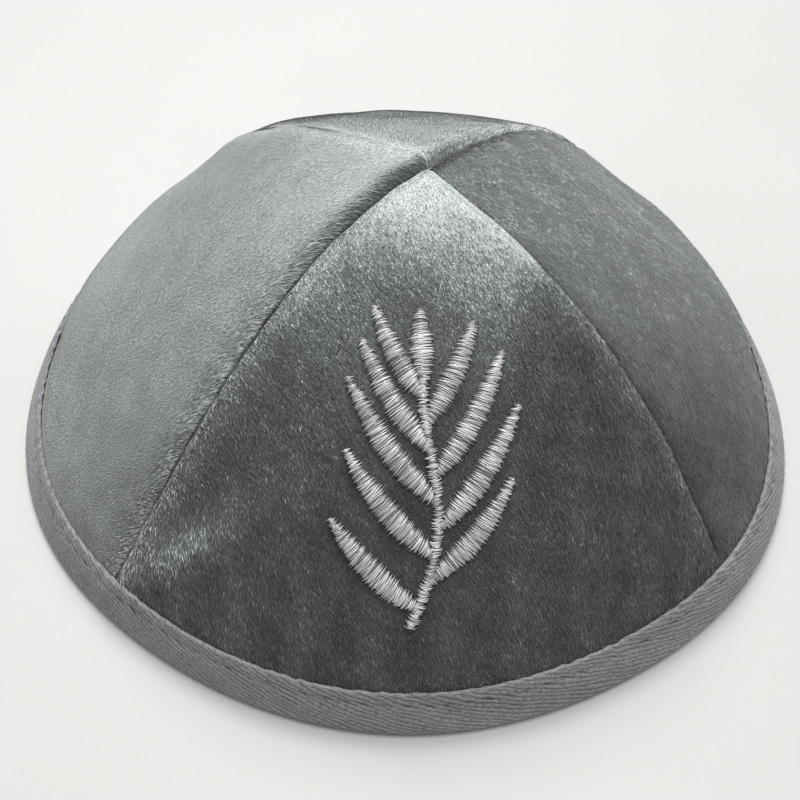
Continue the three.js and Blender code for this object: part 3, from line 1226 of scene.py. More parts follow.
@dataclass(frozen=True)
class Tufts:
    """What all tufts share: where they stand, what chance gives them and how their tones are
    painted, with painted shade at their roots, painted light at their tips and painted glints.

    A pair is the least and the most that chance gives. The sides and the map are those of one
    tuft, whose corners are two at its root, its ridge and its tip.
    """

    first_row: float = 0.3
    fringe_start: float = 1
    fringe_pitch: float = 0.24
    fringe_rows: int = 3
    fringe_back: float = 0.25
    fringe_step: float = 0.32
    fringe_jitter: float = 0.12
    seam_room: float = 0.05
    foot_room: float = 0.2
    apex_room: float = 0.25
    under_stitching: float = 0.1
    swing: float = 4
    swing_pitch: float = 26
    jitter: float = 11
    lift_jitter: float = 7
    lengths: Pair = (0.75, 1.25)
    fluffs: Pair = (0.3, 1.2)
    widths: Pair = (0.7, 1.3)
    shortest: float = 0.12
    least_crossing: float = 0.05
    root_depth: float = 0.04
    ridge: float = 0.1
    ridge_place: float = 0.42
    least_loose: float = 0.25
    pressed_reach: float = 1.4
    pressed_short: float = 0.35
    pressed_flat: float = 0.5
    darker_near_stitching: float = 0.1
    light_span: float = 0.6
    even_spread: float = 0.08
    light_spread: float = 0.3
    spread_from: float = 0.15
    glint_share: float = 0.11
    light_glint_share: float = 0.2
    glints: Pair = (0.3, 1)
    glint: float = 0.2
    light_glint: float = 0.3
    glint_from: float = 0.1
    # Painted shade at each tuft's two root corners, painted light on its ridge and tip.
    root_shade_tip_light: tuple[float, ...] = (-0.1, -0.1, 0.01, 0.06)
    sides: tuple[tuple[int, ...], ...] = ((0, 3, 2), (1, 2, 3), (0, 2, 1), (0, 1, 3))
    map_corners: tuple[Pair, ...] = ((0.1, 0.1), (0.9, 0.1), (0.5, 0.5), (0.5, 0.9))


@dataclass
class CrownPanel:
    """One velvet panel with its wall, its pile and its backing."""

    shape: CrownShape
    index: int
    sprig: Sprig | None = None
    rows: int = 90
    skirt_rows: int = 3
    middle_columns: int = 64
    edge_steps: tuple[float, ...] = (0, 0.12, 0.27, 0.45, 0.66, 0.9, 1.2, 1.6, 2.2, 3)
    narrow_from: float = 14
    tip_start: float = 0.002
    skirt_length: float = 8
    ground_nap_at: float = 0.7
    map_margin: float = 0.02
    first_mark: float = 0.01
    mark_count: int = 60
    tufts: Tufts = Tufts()
    fluff_reach: float = 4.5
    fluff_lift: float = 8
    crease_width: float = 0.12
    bridge: float = 0.7
    # A narrow line of painted shade in each seam's crease.
    crease_shade_reach: float = 0.25
    crease_shade: float = 0.6
    least_mottle: float = 0.4
    mottle: float = 0.04
    mottle_pitch: float = 9
    fine_mottle: float = 0.025
    fine_pitch: float = 3.2
    fine_waves: int = 14
    flat_width: float = 129
    flat_length: float = 101
    flat_area: float = 7250
    roll_reach: float = 2.5
    band_reach: float = 4.2

    @property
    def cut(self) -> Cut:
        """The panel's row in the table of cuts."""
        return CUTS[self.index]

    def across_rows(self, along: Points) -> Points:
        """Spaces each row's points: close together beside the seams, evenly in the middle.

        Args:
            along: The rows' places on the curve.

        Returns:
            Places from -1 to 1, one row of them for each row.
        """
        half = self.shape.half_width(self.index, along)[:, None]
        edge = np.array(self.edge_steps)[None, :] * np.minimum(1, half / self.narrow_from)
        part = np.linspace(0, 1, self.middle_columns // 2 + 1)[None, 1:]
        middle = edge[:, -1:] + (half - edge[:, -1:]) * part
        left = -1 + np.concatenate([edge, middle], 1) / half
        return np.concatenate([left, -left[:, -2::-1]], 1)

    def sheen_and_shade_at(self, across: Points, along: Points) -> Points:
        """The pile's tone of painted sheen and painted shade, from 0 where it looks dark to 1 where
        it looks light.

        Args:
            across: Places from seam to seam.
            along: Places from apex to tape.

        Returns:
            The tones.
        """
        half = self.shape.half_width(self.index, along)
        down = self.shape.down_at(np.minimum(along, 1))
        right = across * half
        tone = np.full(np.broadcast(across, along).shape, self.cut.light)
        for sheen_and_shade in self.cut.sheen_patches:
            x = right - sheen_and_shade.across * np.interp(sheen_and_shade.down, self.down_marks, self.half_marks)
            y = down - sheen_and_shade.down
            turn = math.radians(sheen_and_shade.turn)
            side = x * math.cos(turn) - y * math.sin(turn)
            length = x * math.sin(turn) + y * math.cos(turn)
            tone = tone + sheen_and_shade.change * np.exp(-((side / sheen_and_shade.wide) ** 2) - (length / sheen_and_shade.long) ** 2)
        # Painted shade and painted sheen on the roll into each seam and in a wider band beside it.
        tone = tone + self.from_edges("roll", across, along, self.roll_reach)
        tone = tone + self.from_edges("band", across, along, self.band_reach)
        # Painted shade along each seam's crease.
        tone = tone - self.crease_shade * self.creased(across, along, self.crease_shade_reach)
        share = self.least_mottle + (1 - self.least_mottle) * self.cut.contrast
        coarse = ripple(right, down, self.mottle_pitch, Seed.MOTTLE + self.index)
        fine = ripple(right, down, self.fine_pitch, Seed.FINE_MOTTLE + self.index, self.fine_waves)
        return tone + self.mottle * share * coarse + self.fine_mottle * share * fine

    def from_edges(self, column: str, across: Points, along: Points, reach: float) -> Points:
        """Adds what a column of the panel's two edges gives, fading away from the seams.

        Args:
            column: The column's name.
            across: Places from seam to seam.
            along: Places from apex to tape.
            reach: Millimetres over which it fades.

        Returns:
            The sums.
        """
        half = self.shape.half_width(self.index, along)
        w = self.shape.share(np.minimum(along, 1))
        total = np.zeros(np.broadcast(across, along).shape)
        for way, edge in self.cut.edges:
            distance = half * (1 + way * across)
            total = total + between(getattr(edge, column), w) * bell(distance, reach)
        return total

    def creased(self, across: Points, along: Points, reach: float) -> Points:
        """How sharply the cloth is creased by the seams near it, from 0 to 1."""
        return np.clip(self.from_edges("dip", across, along, reach) / self.shape.full_dip, 0, 1)

    @property
    def marks(self) -> Points:
        """Places on the curve at which the panel's width is known."""
        return np.linspace(self.first_mark, 1, self.mark_count)

    @property
    def down_marks(self) -> Points:
        """Their distances from the apex."""
        return self.shape.down_at(self.marks)

    @property
    def half_marks(self) -> Points:
        """Half the panel's width at each of them."""
        return self.shape.half_width(self.index, self.marks)

    def looseness(self, across: Points, along: Points) -> tuple[Points, Points]:
        """How much the tufts differ in tone, and how loosely they lie."""
        contrast = self.cut.contrast + self.from_edges("comb", across, along, self.band_reach)
        return contrast, self.tufts.least_loose + (1 - self.tufts.least_loose) * contrast

    def cloth(self, ground: bpy.types.Material, backing: bpy.types.Material) -> bpy.types.Object:
        """Makes the panel's wall: outer face, inner face and the edges between them.

        Args:
            ground: The outer face's material.
            backing: The inner face's material.

        Returns:
            The panel.
        """
        top = self.shape.down_at(np.array(self.tip_start))
        downs = np.linspace(top, self.shape.down_at(np.array(1.0)), self.rows)
        skirt = 1 + np.arange(1, self.skirt_rows + 1) / self.skirt_rows
        along = np.concatenate([self.shape.along_at(downs), skirt])
        across = self.across_rows(along)
        place = np.repeat(along[:, None], across.shape[1], 1)
        outer = self.shape.point(self.index, across, place)
        inner = self.shape.point(self.index, across, place, depth=self.shape.wall)
        grid = Grid(np.concatenate([outer, inner[:, ::-1]], 1))
        count = across.shape[1]
        last = len(along) - 1
        c = np.arange(count - 1)
        twin = 2 * count - 1 - c
        foot = np.stack([grid.index(last, corner) for corner in (c + 1, c, twin, twin - 1)], -1)
        tip = np.stack([c, c + 1, twin - 1, twin], -1)

        half = self.shape.half_width(self.index, along)[:, None]
        down = self.shape.down_at(np.minimum(place, 1)) + self.skirt_length * np.maximum(place - 1, 0)
        turn = math.radians(float(self.cut.nap_at(0, self.ground_nap_at)))
        right = across * half
        nap_u = right * math.cos(turn) + down * math.sin(turn)
        nap_v = down * math.cos(turn) - right * math.sin(turn)
        nap = np.stack([nap_u, nap_v], -1)
        nap = np.concatenate([nap, nap[:, ::-1]], 1).reshape(-1, 2)
        faces = np.concatenate([grid.faces(), foot, tip])
        margin = self.map_margin
        u = np.linspace(0, 1, 2 * count + 1)
        v = np.linspace(margin, 1 - margin, len(along))
        strip = np.stack([u[c + 1], u[c], u[c], u[c + 1]], -1)
        foot_map = np.stack([strip, np.broadcast_to([1 - margin, 1 - margin, 1, 1], strip.shape)], -1)
        tip_map = np.stack([strip[:, ::-1], np.broadcast_to([margin, margin, 0, 0], strip.shape)], -1)
        bake = np.concatenate([grid.places(u, v), foot_map, tip_map])
        sheen_and_shade = self.sheen_and_shade_at(across, place)
        sheen_and_shade = np.concatenate([sheen_and_shade, sheen_and_shade[:, ::-1]], 1)
        finish = np.zeros((last, 2 * count), int)
        finish[:, count:-1] = 1
        finish_index = np.concatenate([finish.ravel(), np.ones(2 * len(c), int)])
        piece = new_piece(
            f"velvet_{self.cut.side}", grid.points.reshape(-1, 3), faces, [ground, backing],
            maps={NAP_MAP: nap[faces], BAKE_MAP: bake}, values={"sheen_and_shade": sheen_and_shade.ravel()},
            finish_index=finish_index,
        )
        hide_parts(f"panel_{self.cut.side}")
        return piece

    def tuft_places(self, chance: np.random.Generator) -> tuple[Points, Points]:
        """Scatters the pile's tufts evenly over the cloth, and in rows beside the seams.

        Args:
            chance: The source of chance.

        Returns:
            Places across and along.
        """
        length = float(self.shape.down_at(np.array(1.0)))
        widest = float(self.half_marks.max())
        pitch = self.cut.pile.pitch
        tufts = self.tufts
        rows = np.arange(tufts.first_row, length, pitch)
        columns = np.arange(-widest, widest, pitch)
        down, right = (grid.ravel() for grid in np.meshgrid(rows, columns, indexing="ij"))
        down = down + chance.uniform(-0.5, 0.5, down.shape) * pitch
        right = right + chance.uniform(-0.5, 0.5, right.shape) * pitch
        run = np.arange(tufts.fringe_start, length, tufts.fringe_pitch)
        for side in (-1, 1):
            for row in range(tufts.fringe_rows):
                fringe_down = run + chance.uniform(-0.5, 0.5, run.shape) * tufts.fringe_pitch
                edge = np.interp(fringe_down, self.down_marks, self.half_marks)
                back = tufts.fringe_back + tufts.fringe_step * row
                back = back + chance.uniform(-tufts.fringe_jitter, tufts.fringe_jitter, run.shape)
                down = np.concatenate([down, fringe_down])
                right = np.concatenate([right, side * (edge - back)])
        half = np.interp(down, self.down_marks, self.half_marks)
        kept = (np.abs(right) < half - tufts.seam_room) & (down < length - tufts.foot_room)
        kept = kept & (down > tufts.apex_room)
        return right[kept] / half[kept], self.shape.along_at(down[kept])

    def pile(self, finish: bpy.types.Material) -> bpy.types.Object:
        """Makes the pile: thousands of small leaning tufts, each a closed sliver with a ridge.

        Args:
            finish: The tufts' material.

        Returns:
            The pile.
        """
        tufts = self.tufts
        chance = np.random.default_rng(Seed.PILE + self.index)
        across, along = self.tuft_places(chance)
        half = self.shape.half_width(self.index, along)
        down = self.shape.down_at(along)
        right = across * half
        creased = self.creased(across, along, self.fluff_reach)
        room = half - np.abs(right) - self.crease_width * creased
        gap = np.full(right.shape, FAR_AWAY) if self.sprig is None else self.sprig.clearance(right, down)
        kept = (gap > -tufts.under_stitching) & (room > 0)
        room = room + self.bridge * (1 - creased)
        across, along, gap, room = (a[kept] for a in (across, along, gap, room))
        pressed = bell(np.maximum(gap, 0), tufts.pressed_reach)
        points = self.tuft_points(chance, across, along, room, pressed)
        tones = self.tuft_tones(chance, across, along, pressed)

        count = len(across)
        sides = np.array(tufts.sides)
        corners = len(tufts.map_corners)
        faces = (np.arange(count)[:, None, None] * corners + sides[None]).reshape(-1, 3)
        bake = bake_cells(count, np.array(tufts.map_corners)[sides])
        piece = new_piece(
            f"pile_{self.cut.side}", points, faces, [finish],
            maps={BAKE_MAP: bake}, values={"tone": tones}, smooth=False,
        )
        log.info("pile_%s: %d tufts", self.cut.side, count)
        return piece

    def tuft_points(
        self, chance: np.random.Generator, across: Points, along: Points, room: Points, pressed: Points,
    ) -> Points:
        """Shapes the tufts, leaning as the nap runs.

        Args:
            chance: The source of chance.
            across: Places from seam to seam.
            along: Places from apex to tape.
            room: Millimetres of cloth between each tuft and the nearest seam's crease.
            pressed: How far the stitching presses each tuft down, from 0 to 1.

        Returns:
            Four points for each tuft: two at its root, its ridge and its tip.
        """
        tufts = self.tufts
        pile = self.cut.pile
        count = len(across)
        down = self.shape.down_at(along)
        right = across * self.shape.half_width(self.index, along)
        root, fall, normal = self.shape.surface(self.index, across, along)
        side = np.cross(fall, normal) * -1

        swing = tufts.swing * ripple(right, down, tufts.swing_pitch, seed=Seed.NAP + self.index)
        contrast, loose = self.looseness(across, along)
        jitter = tufts.jitter * loose * chance.standard_normal(count)
        widening = np.interp(down, self.down_marks, np.gradient(self.half_marks, self.down_marks))
        turn = self.cut.nap_at(across, self.shape.share(along))
        angle = np.radians(turn + swing + jitter) - np.arctan(across * widening)
        towards = np.where(across < 0, -1.0, 1.0)
        fluff = self.from_edges("fluff", across, along, self.fluff_reach)
        lean = np.cos(angle)[:, None] * fall + np.sin(angle)[:, None] * side
        beside = np.cross(normal, lean)
        length = pile.length * chance.uniform(*tufts.lengths, count) * (1 - tufts.pressed_short * pressed)
        length = length + fluff * chance.uniform(*tufts.fluffs, count)
        crossing = np.maximum(np.sin(angle) * towards, tufts.least_crossing)
        length = np.minimum(length, tufts.shortest + room / crossing)
        lift = np.radians(pile.lift + tufts.lift_jitter * contrast * chance.standard_normal(count))
        lift = lift * (1 - tufts.pressed_flat * pressed) + np.radians(self.fluff_lift) * fluff
        reach = (length * np.cos(lift))[:, None] * lean + (length * np.sin(lift))[:, None] * normal
        half_wide = (pile.width * chance.uniform(*tufts.widths, count) / 2)[:, None] * beside
        base = root - normal * tufts.root_depth
        ridge = root + tufts.ridge_place * reach + (tufts.ridge * loose)[:, None] * normal
        return np.stack([base - half_wide, base + half_wide, ridge, root + reach], 1).reshape(-1, 3)

    def tuft_tones(
        self, chance: np.random.Generator, across: Points, along: Points, pressed: Points,
    ) -> Points:
        """Gives the tufts their tones, most varied where the pile looks light.

        Args:
            chance: The source of chance.
            across: Places from seam to seam.
            along: Places from apex to tape.
            pressed: How far the stitching presses each tuft down, from 0 to 1.

        Returns:
            A tone for each point of each tuft.
        """
        tufts = self.tufts
        count = len(across)
        contrast, loose = self.looseness(across, along)
        # The tufts' tone is made darker near the stitching.
        sheen_and_shade = self.sheen_and_shade_at(across, along) - tufts.darker_near_stitching * pressed
        spread_light = np.clip(sheen_and_shade - tufts.spread_from, 0, tufts.light_span)
        glint_light = np.clip(sheen_and_shade - tufts.glint_from, 0, tufts.light_span)
        share = tufts.glint_share + tufts.light_glint_share * np.clip(sheen_and_shade, 0, 1)
        glint = (chance.random(count) < share) * chance.uniform(*tufts.glints, count)
        spread = contrast * (tufts.even_spread + tufts.light_spread * spread_light)
        tone = sheen_and_shade + spread * chance.standard_normal(count)
        tone = tone + contrast * glint * (tufts.glint + tufts.light_glint * glint_light)
        root_shade_tip_light = np.array([tufts.root_shade_tip_light]) * loose[:, None]
        return np.clip(tone[:, None] + root_shade_tip_light, 0, 1).ravel()

    def build(
        self, ground: bpy.types.Material, pile: bpy.types.Material, backing: bpy.types.Material,
    ) -> None:
        """Args:
            ground: The outer face's material.
            pile: The tufts' material.
            backing: The inner face's material.
        """
        cloth = self.cloth(ground, backing)
        tufts = self.pile(pile)
        log.info("%s: %d faces", cloth.name, len(cloth.data.polygons))


@dataclass
class RimBinding:
    """One tape folded over the panels' lower edges, with twill ribs and a groove of stitching."""

    shape: CrownShape
    columns: int = 720
    face_rows: int = 58
    bulge: float = 0.2
    foot_round: float = 1.2
    slot_floor: float = 1
    rib_turns: int = 185
    rib_pitch: float = 1.0
    rib_height: float = 0.22
    rib_wander: float = 0.2
    stitch_down: float = 2.3
    stitch_count: int = 144
    groove_depth: float = 0.1
    groove_width: float = 0.45
    hole_depth: float = 0.25
    hole_length: float = 0.85
    hole_width: float = 0.3
    hole_tilt: float = 17
    seam_bulge: float = 0.35
    seam_bulge_reach: float = 3.2
    edge_wander: float = 0.26
    edge_pitch: float = 3.6
    edge_fade: Pair = (5, 9.5)
    middle_radius: float = 84
    lip: float = 0.12
    lip_rows: int = 2
    slot_rows: int = 4
    inner_rows: int = 18
    corner_out: float = 0.1
    corner_rows: int = 6
    inner_corner_rows: int = 5
    under_rows: int = 3
    inner_round: float = 0.96
    hidden_rows: int = 14
    hidden_relief: float = 0.25
    flat_foot: float = 0.6
    seam_bulge_down: float = 2
    seam_bulge_fade: float = 4
    wander_stretch: float = 3
    wander_pitch: float = 9
    rib_bluntness: float = 0.6
    rib_sink: float = 0.6
    hole_strengths: Pair = (0.25, 1)
    groove_shade: float = 0.1
    crest_light: float = 0.75
    stitch_groove_shade: float = 0.04
    hole_shade: float = 0.55
    chance_tone: float = 0.07
    chance_pitch: float = 7
    closing: float = 0.5
    flat_width: float = 22
    flat_length: float = 534

    def section(self, direction: Points) -> tuple[Points, Points, Points]:
        """Draws the folded tape's section.

        Args:
            direction: Directions, in radians.

        Returns:
            Points in radius and height for each direction, their outward directions, and
            how far down the cloth from the tape's outer edge each point lies.
        """
        edge, foot, down, out = self.shape.hem(direction)
        leaf = self.shape.tape_wall
        slot = self.shape.wall + 2 * self.shape.clearance
        inner_edge = edge - (2 * leaf + slot) * out
        inner_foot = inner_edge + down * ((inner_edge[:, 1:] - self.shape.rim_height) / -down[:, 1:])

        level = np.array([1, 0])
        ring_out = (foot - self.foot_round) * level
        ring_in = (inner_foot + self.inner_round) * level
        outer_corner = (foot + self.corner_out) * level
        inner_corner = (inner_foot - self.corner_out) * level
        lip = down * self.lip
        top_out = edge - out * leaf
        slot_out = top_out + down * ((top_out[:, 1:] - self.slot_floor) / -down[:, 1:])
        top_in = edge - out * (leaf + slot)
        slot_in = top_in + down * ((top_in[:, 1:] - self.slot_floor) / -down[:, 1:])
        inner_lip = inner_edge + out * leaf / 2
        outer_lip = edge - out * leaf / 2
        parts = [
            bowed(edge + lip, foot, out, self.face_rows, self.bulge),
            rounded(foot, outer_corner, ring_out, self.corner_rows),
            bowed(ring_out, ring_in, out, self.under_rows),
            rounded(ring_in, inner_corner, inner_foot, self.inner_corner_rows),
            bowed(inner_foot, inner_edge + lip, out, self.inner_rows),
            rounded(inner_edge + lip, inner_edge - lip, inner_lip, self.lip_rows),
            rounded(inner_lip, top_in - lip, top_in + lip, self.lip_rows),
            bowed(top_in + lip, slot_in, out, self.slot_rows),
            bowed(slot_out, top_out + lip, out, self.slot_rows),
            rounded(top_out + lip, top_out - lip, outer_lip, self.lip_rows),
            rounded(outer_lip, edge - lip, edge + lip, self.lip_rows),
        ]
        line = np.concatenate(parts)
        ahead = np.roll(line, -1, 0) - np.roll(line, 1, 0)
        away = unit(np.stack([-ahead[..., 1], ahead[..., 0]], -1))
        return line, away, run_along(line[:, 0])

    def relief(self, direction: Points, run: Points) -> tuple[Points, Points]:
        """Works out ribs, stitch groove and needle holes.

        Args:
            direction: Directions, in radians, along the columns.
            run: Millimetres down the cloth, along the rows.

        Returns:
            Heights in millimetres, and the tone of the cloth from groove to crest, with painted shade
            in the grooves, the stitch groove and the needle holes and painted light on the crests.
        """
        v = run[:, None]
        phase = v / self.rib_pitch - direction[None] / math.tau * self.rib_turns
        around = direction[None] * self.middle_radius
        wander = ripple(around, v * self.wander_stretch, self.wander_pitch, seed=Seed.RIBS)
        crest = np.abs(np.sin(math.pi * (phase + self.rib_wander * wander))) ** self.rib_bluntness
        height = self.rib_height * (crest - self.rib_sink)
        below = v - self.stitch_down
        stitch = bell(below, self.groove_width)
        beat = direction[None] / math.tau * self.stitch_count
        chance = np.random.default_rng(Seed.NEEDLE_HOLES)
        strength = chance.uniform(*self.hole_strengths, self.stitch_count + 1)
        beside = (beat - np.round(beat)) * math.tau * self.middle_radius / self.stitch_count
        tilt = math.radians(self.hole_tilt)
        lengthways = (beside * math.cos(tilt) + below * math.sin(tilt)) / self.hole_length
        crossways = (below * math.cos(tilt) - beside * math.sin(tilt)) / self.hole_width
        hole = np.exp(-(lengthways**2) - crossways**2) * strength[np.round(beat).astype(int)]
        height = height - self.groove_depth * stitch - self.hole_depth * hole
        # Painted shade in the rib grooves, the stitch groove and the needle holes, painted light on the
        # crests.
        tone = self.groove_shade + self.crest_light * crest - self.stitch_groove_shade * stitch - self.hole_shade * hole
        tone = tone + self.chance_tone * ripple(around, v, self.chance_pitch, seed=Seed.TAPE_TONE)
        return height, np.clip(tone, 0, 1)

    def build(self, finish: bpy.types.Material) -> bpy.types.Object:
        """Makes the tape.

        Args:
            finish: The tape's material.

        Returns:
            The tape.
        """
        direction = np.linspace(0, math.tau, self.columns, endpoint=False)
        line, away, run = self.section(direction)
        height, tone = self.relief(direction, run)
        show = np.ones(len(run))
        show[-self.hidden_rows:] = self.hidden_relief
        high = bell(run - self.seam_bulge_down, self.seam_bulge_fade)
        for k in range(len(SEAMS)):
            seam = float(self.shape.seam_direction(k, np.array(1.0)))
            turn = (direction - seam + math.pi) % math.tau - math.pi
            near = bell(turn * self.middle_radius, self.seam_bulge_reach)
            height = height + self.seam_bulge * high[:, None] * near[None]
        height = height * show[:, None]
        low = line[..., 1] < self.flat_foot
        flat = np.minimum(height, 0) * smooth_step(line[..., 1], 0, self.flat_foot)
        line = line + away * np.where(low, flat, height)[..., None]
        around = direction * self.middle_radius
        wander = self.edge_wander * ripple(around, direction * 0, self.edge_pitch, seed=Seed.TAPE_EDGE)
        line[..., 1] += wander[None] * smooth_step(line[..., 1], *self.edge_fade)
        spoke = spokes(direction)
        points = np.concatenate([spoke[None] * line[..., :1], line[..., 1:]], -1) + self.shape.shift()
        grid = Grid(np.concatenate([points, points[:1]]))
        faces = grid.faces()
        total = grid.points.shape[0] - 1
        faces = np.where(faces >= total * self.columns, faces - total * self.columns, faces)
        around_mm = np.linspace(0, self.flat_length, self.columns + 1)
        down_mm = np.concatenate([run, [run[-1] + self.closing]])
        tilt = self.rib_turns * self.rib_pitch / self.flat_length
        places = grid.places(around_mm, down_mm)
        nap = np.stack([places[..., 0], places[..., 1] - tilt * places[..., 0]], -1)
        bake = grid.places(np.linspace(0, 1, self.columns + 1), np.linspace(0, 1, total + 1))
        piece = new_piece(
            "tape", grid.points[:-1].reshape(-1, 3), faces, [finish],
            maps={NAP_MAP: nap, BAKE_MAP: bake}, values={"rib": tone.ravel()},
        )
        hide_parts("rim_binding")
        log.info("%s: %d faces", piece.name, len(piece.data.polygons))
        return piece


@dataclass
class Topstitch:
    """The row of stitches that holds the tape, seen outside and inside."""

    binding: RimBinding
    length: float = 1.8
    thickness: float = 0.26
    sides: int = 6
    rings: int = 6
    bow: float = 0.06
    outer_depth: float = -0.02
    inner_depth: float = 0.12
    tilt: float = 4
    tones: Pair = (0.3, 1)
    map_fill: float = 0.8

    def one_stitch(self) -> tuple[Points, Points]:
        """Models one stitch as a slim bowed bead, along X, with Z outwards.

        Returns:
            Its vertices, in millimetres, and its triangles.
        """
        bpy.ops.object.select_all(action="DESELECT")
        bpy.ops.mesh.primitive_uv_sphere_add(
            segments=self.sides, ring_count=self.rings, radius=0.5, rotation=(0, math.radians(90), 0)
        )
        pattern = bpy.context.object
        bpy.ops.object.transform_apply(rotation=True)
        bpy.ops.object.mode_set(mode="EDIT")
        bpy.ops.mesh.select_all(action="SELECT")
        bpy.ops.transform.resize(value=(self.length, self.thickness, self.thickness))
        bpy.ops.mesh.quads_convert_to_tris()
        bpy.ops.object.mode_set(mode="OBJECT")
        points = np.array([v.co for v in pattern.data.vertices])
        faces = np.array([p.vertices for p in pattern.data.polygons])
        bpy.data.objects.remove(pattern)
        points[:, 2] += self.bow * np.cos(points[:, 0] / self.length * math.pi)
        return points, faces

    def build(self, finish: bpy.types.Material) -> bpy.types.Object:
        """Lays the stitches on the tape's two faces.

        Args:
            finish: The thread's material.

        Returns:
            The stitching.
        """
        pattern, triangles = self.one_stitch()
        count = self.binding.stitch_count
        chance = np.random.default_rng(Seed.TOPSTITCH)
        direction = (np.arange(count) + 0.5) / count * math.tau
        shape = self.binding.shape
        edge, _, down, out = shape.hem(direction)
        spoke = np.stack([np.cos(direction), np.sin(direction), 0 * direction], -1)
        along = np.stack([-np.sin(direction), np.cos(direction), 0 * direction], -1)
        up = np.array([0, 0, 1.0])
        inside = 2 * shape.tape_wall + shape.wall + 2 * shape.clearance
        clouds = []
        for depth, way in ((self.outer_depth, 1), (inside - self.inner_depth, -1)):
            place = edge + down * self.binding.stitch_down - out * depth
            middle = spoke * place[:, :1] + up * place[:, 1:] + shape.shift()
            outward = (spoke * out[:, :1] + up * out[:, 1:]) * way
            flank = np.cross(outward, along)
            tilt = np.radians(self.tilt * chance.standard_normal(count))[:, None]
            run = along * np.cos(tilt) + flank * np.sin(tilt)
            flank = np.cross(outward, run)
            cloud = (
                middle[:, None] + pattern[None, :, :1] * run[:, None]
                + pattern[None, :, 1:2] * flank[:, None] + pattern[None, :, 2:] * outward[:, None]
            )
            clouds.append(cloud)
        points = np.concatenate(clouds)
        number = len(points)
        faces = triangles[None] + np.arange(number)[:, None, None] * len(pattern)
        tones = np.repeat(chance.uniform(*self.tones, number), len(pattern))
        own_map = pattern[:, :2] / np.array([self.length, self.thickness]) * self.map_fill + 0.5
        piece = new_piece(
            "topstitch", points.reshape(-1, 3), faces.reshape(-1, 3), [finish],
            maps={BAKE_MAP: bake_cells(number, own_map[triangles])}, values={"tone": tones},
        )
        log.info("%s: %d stitches", piece.name, number)
        return piece


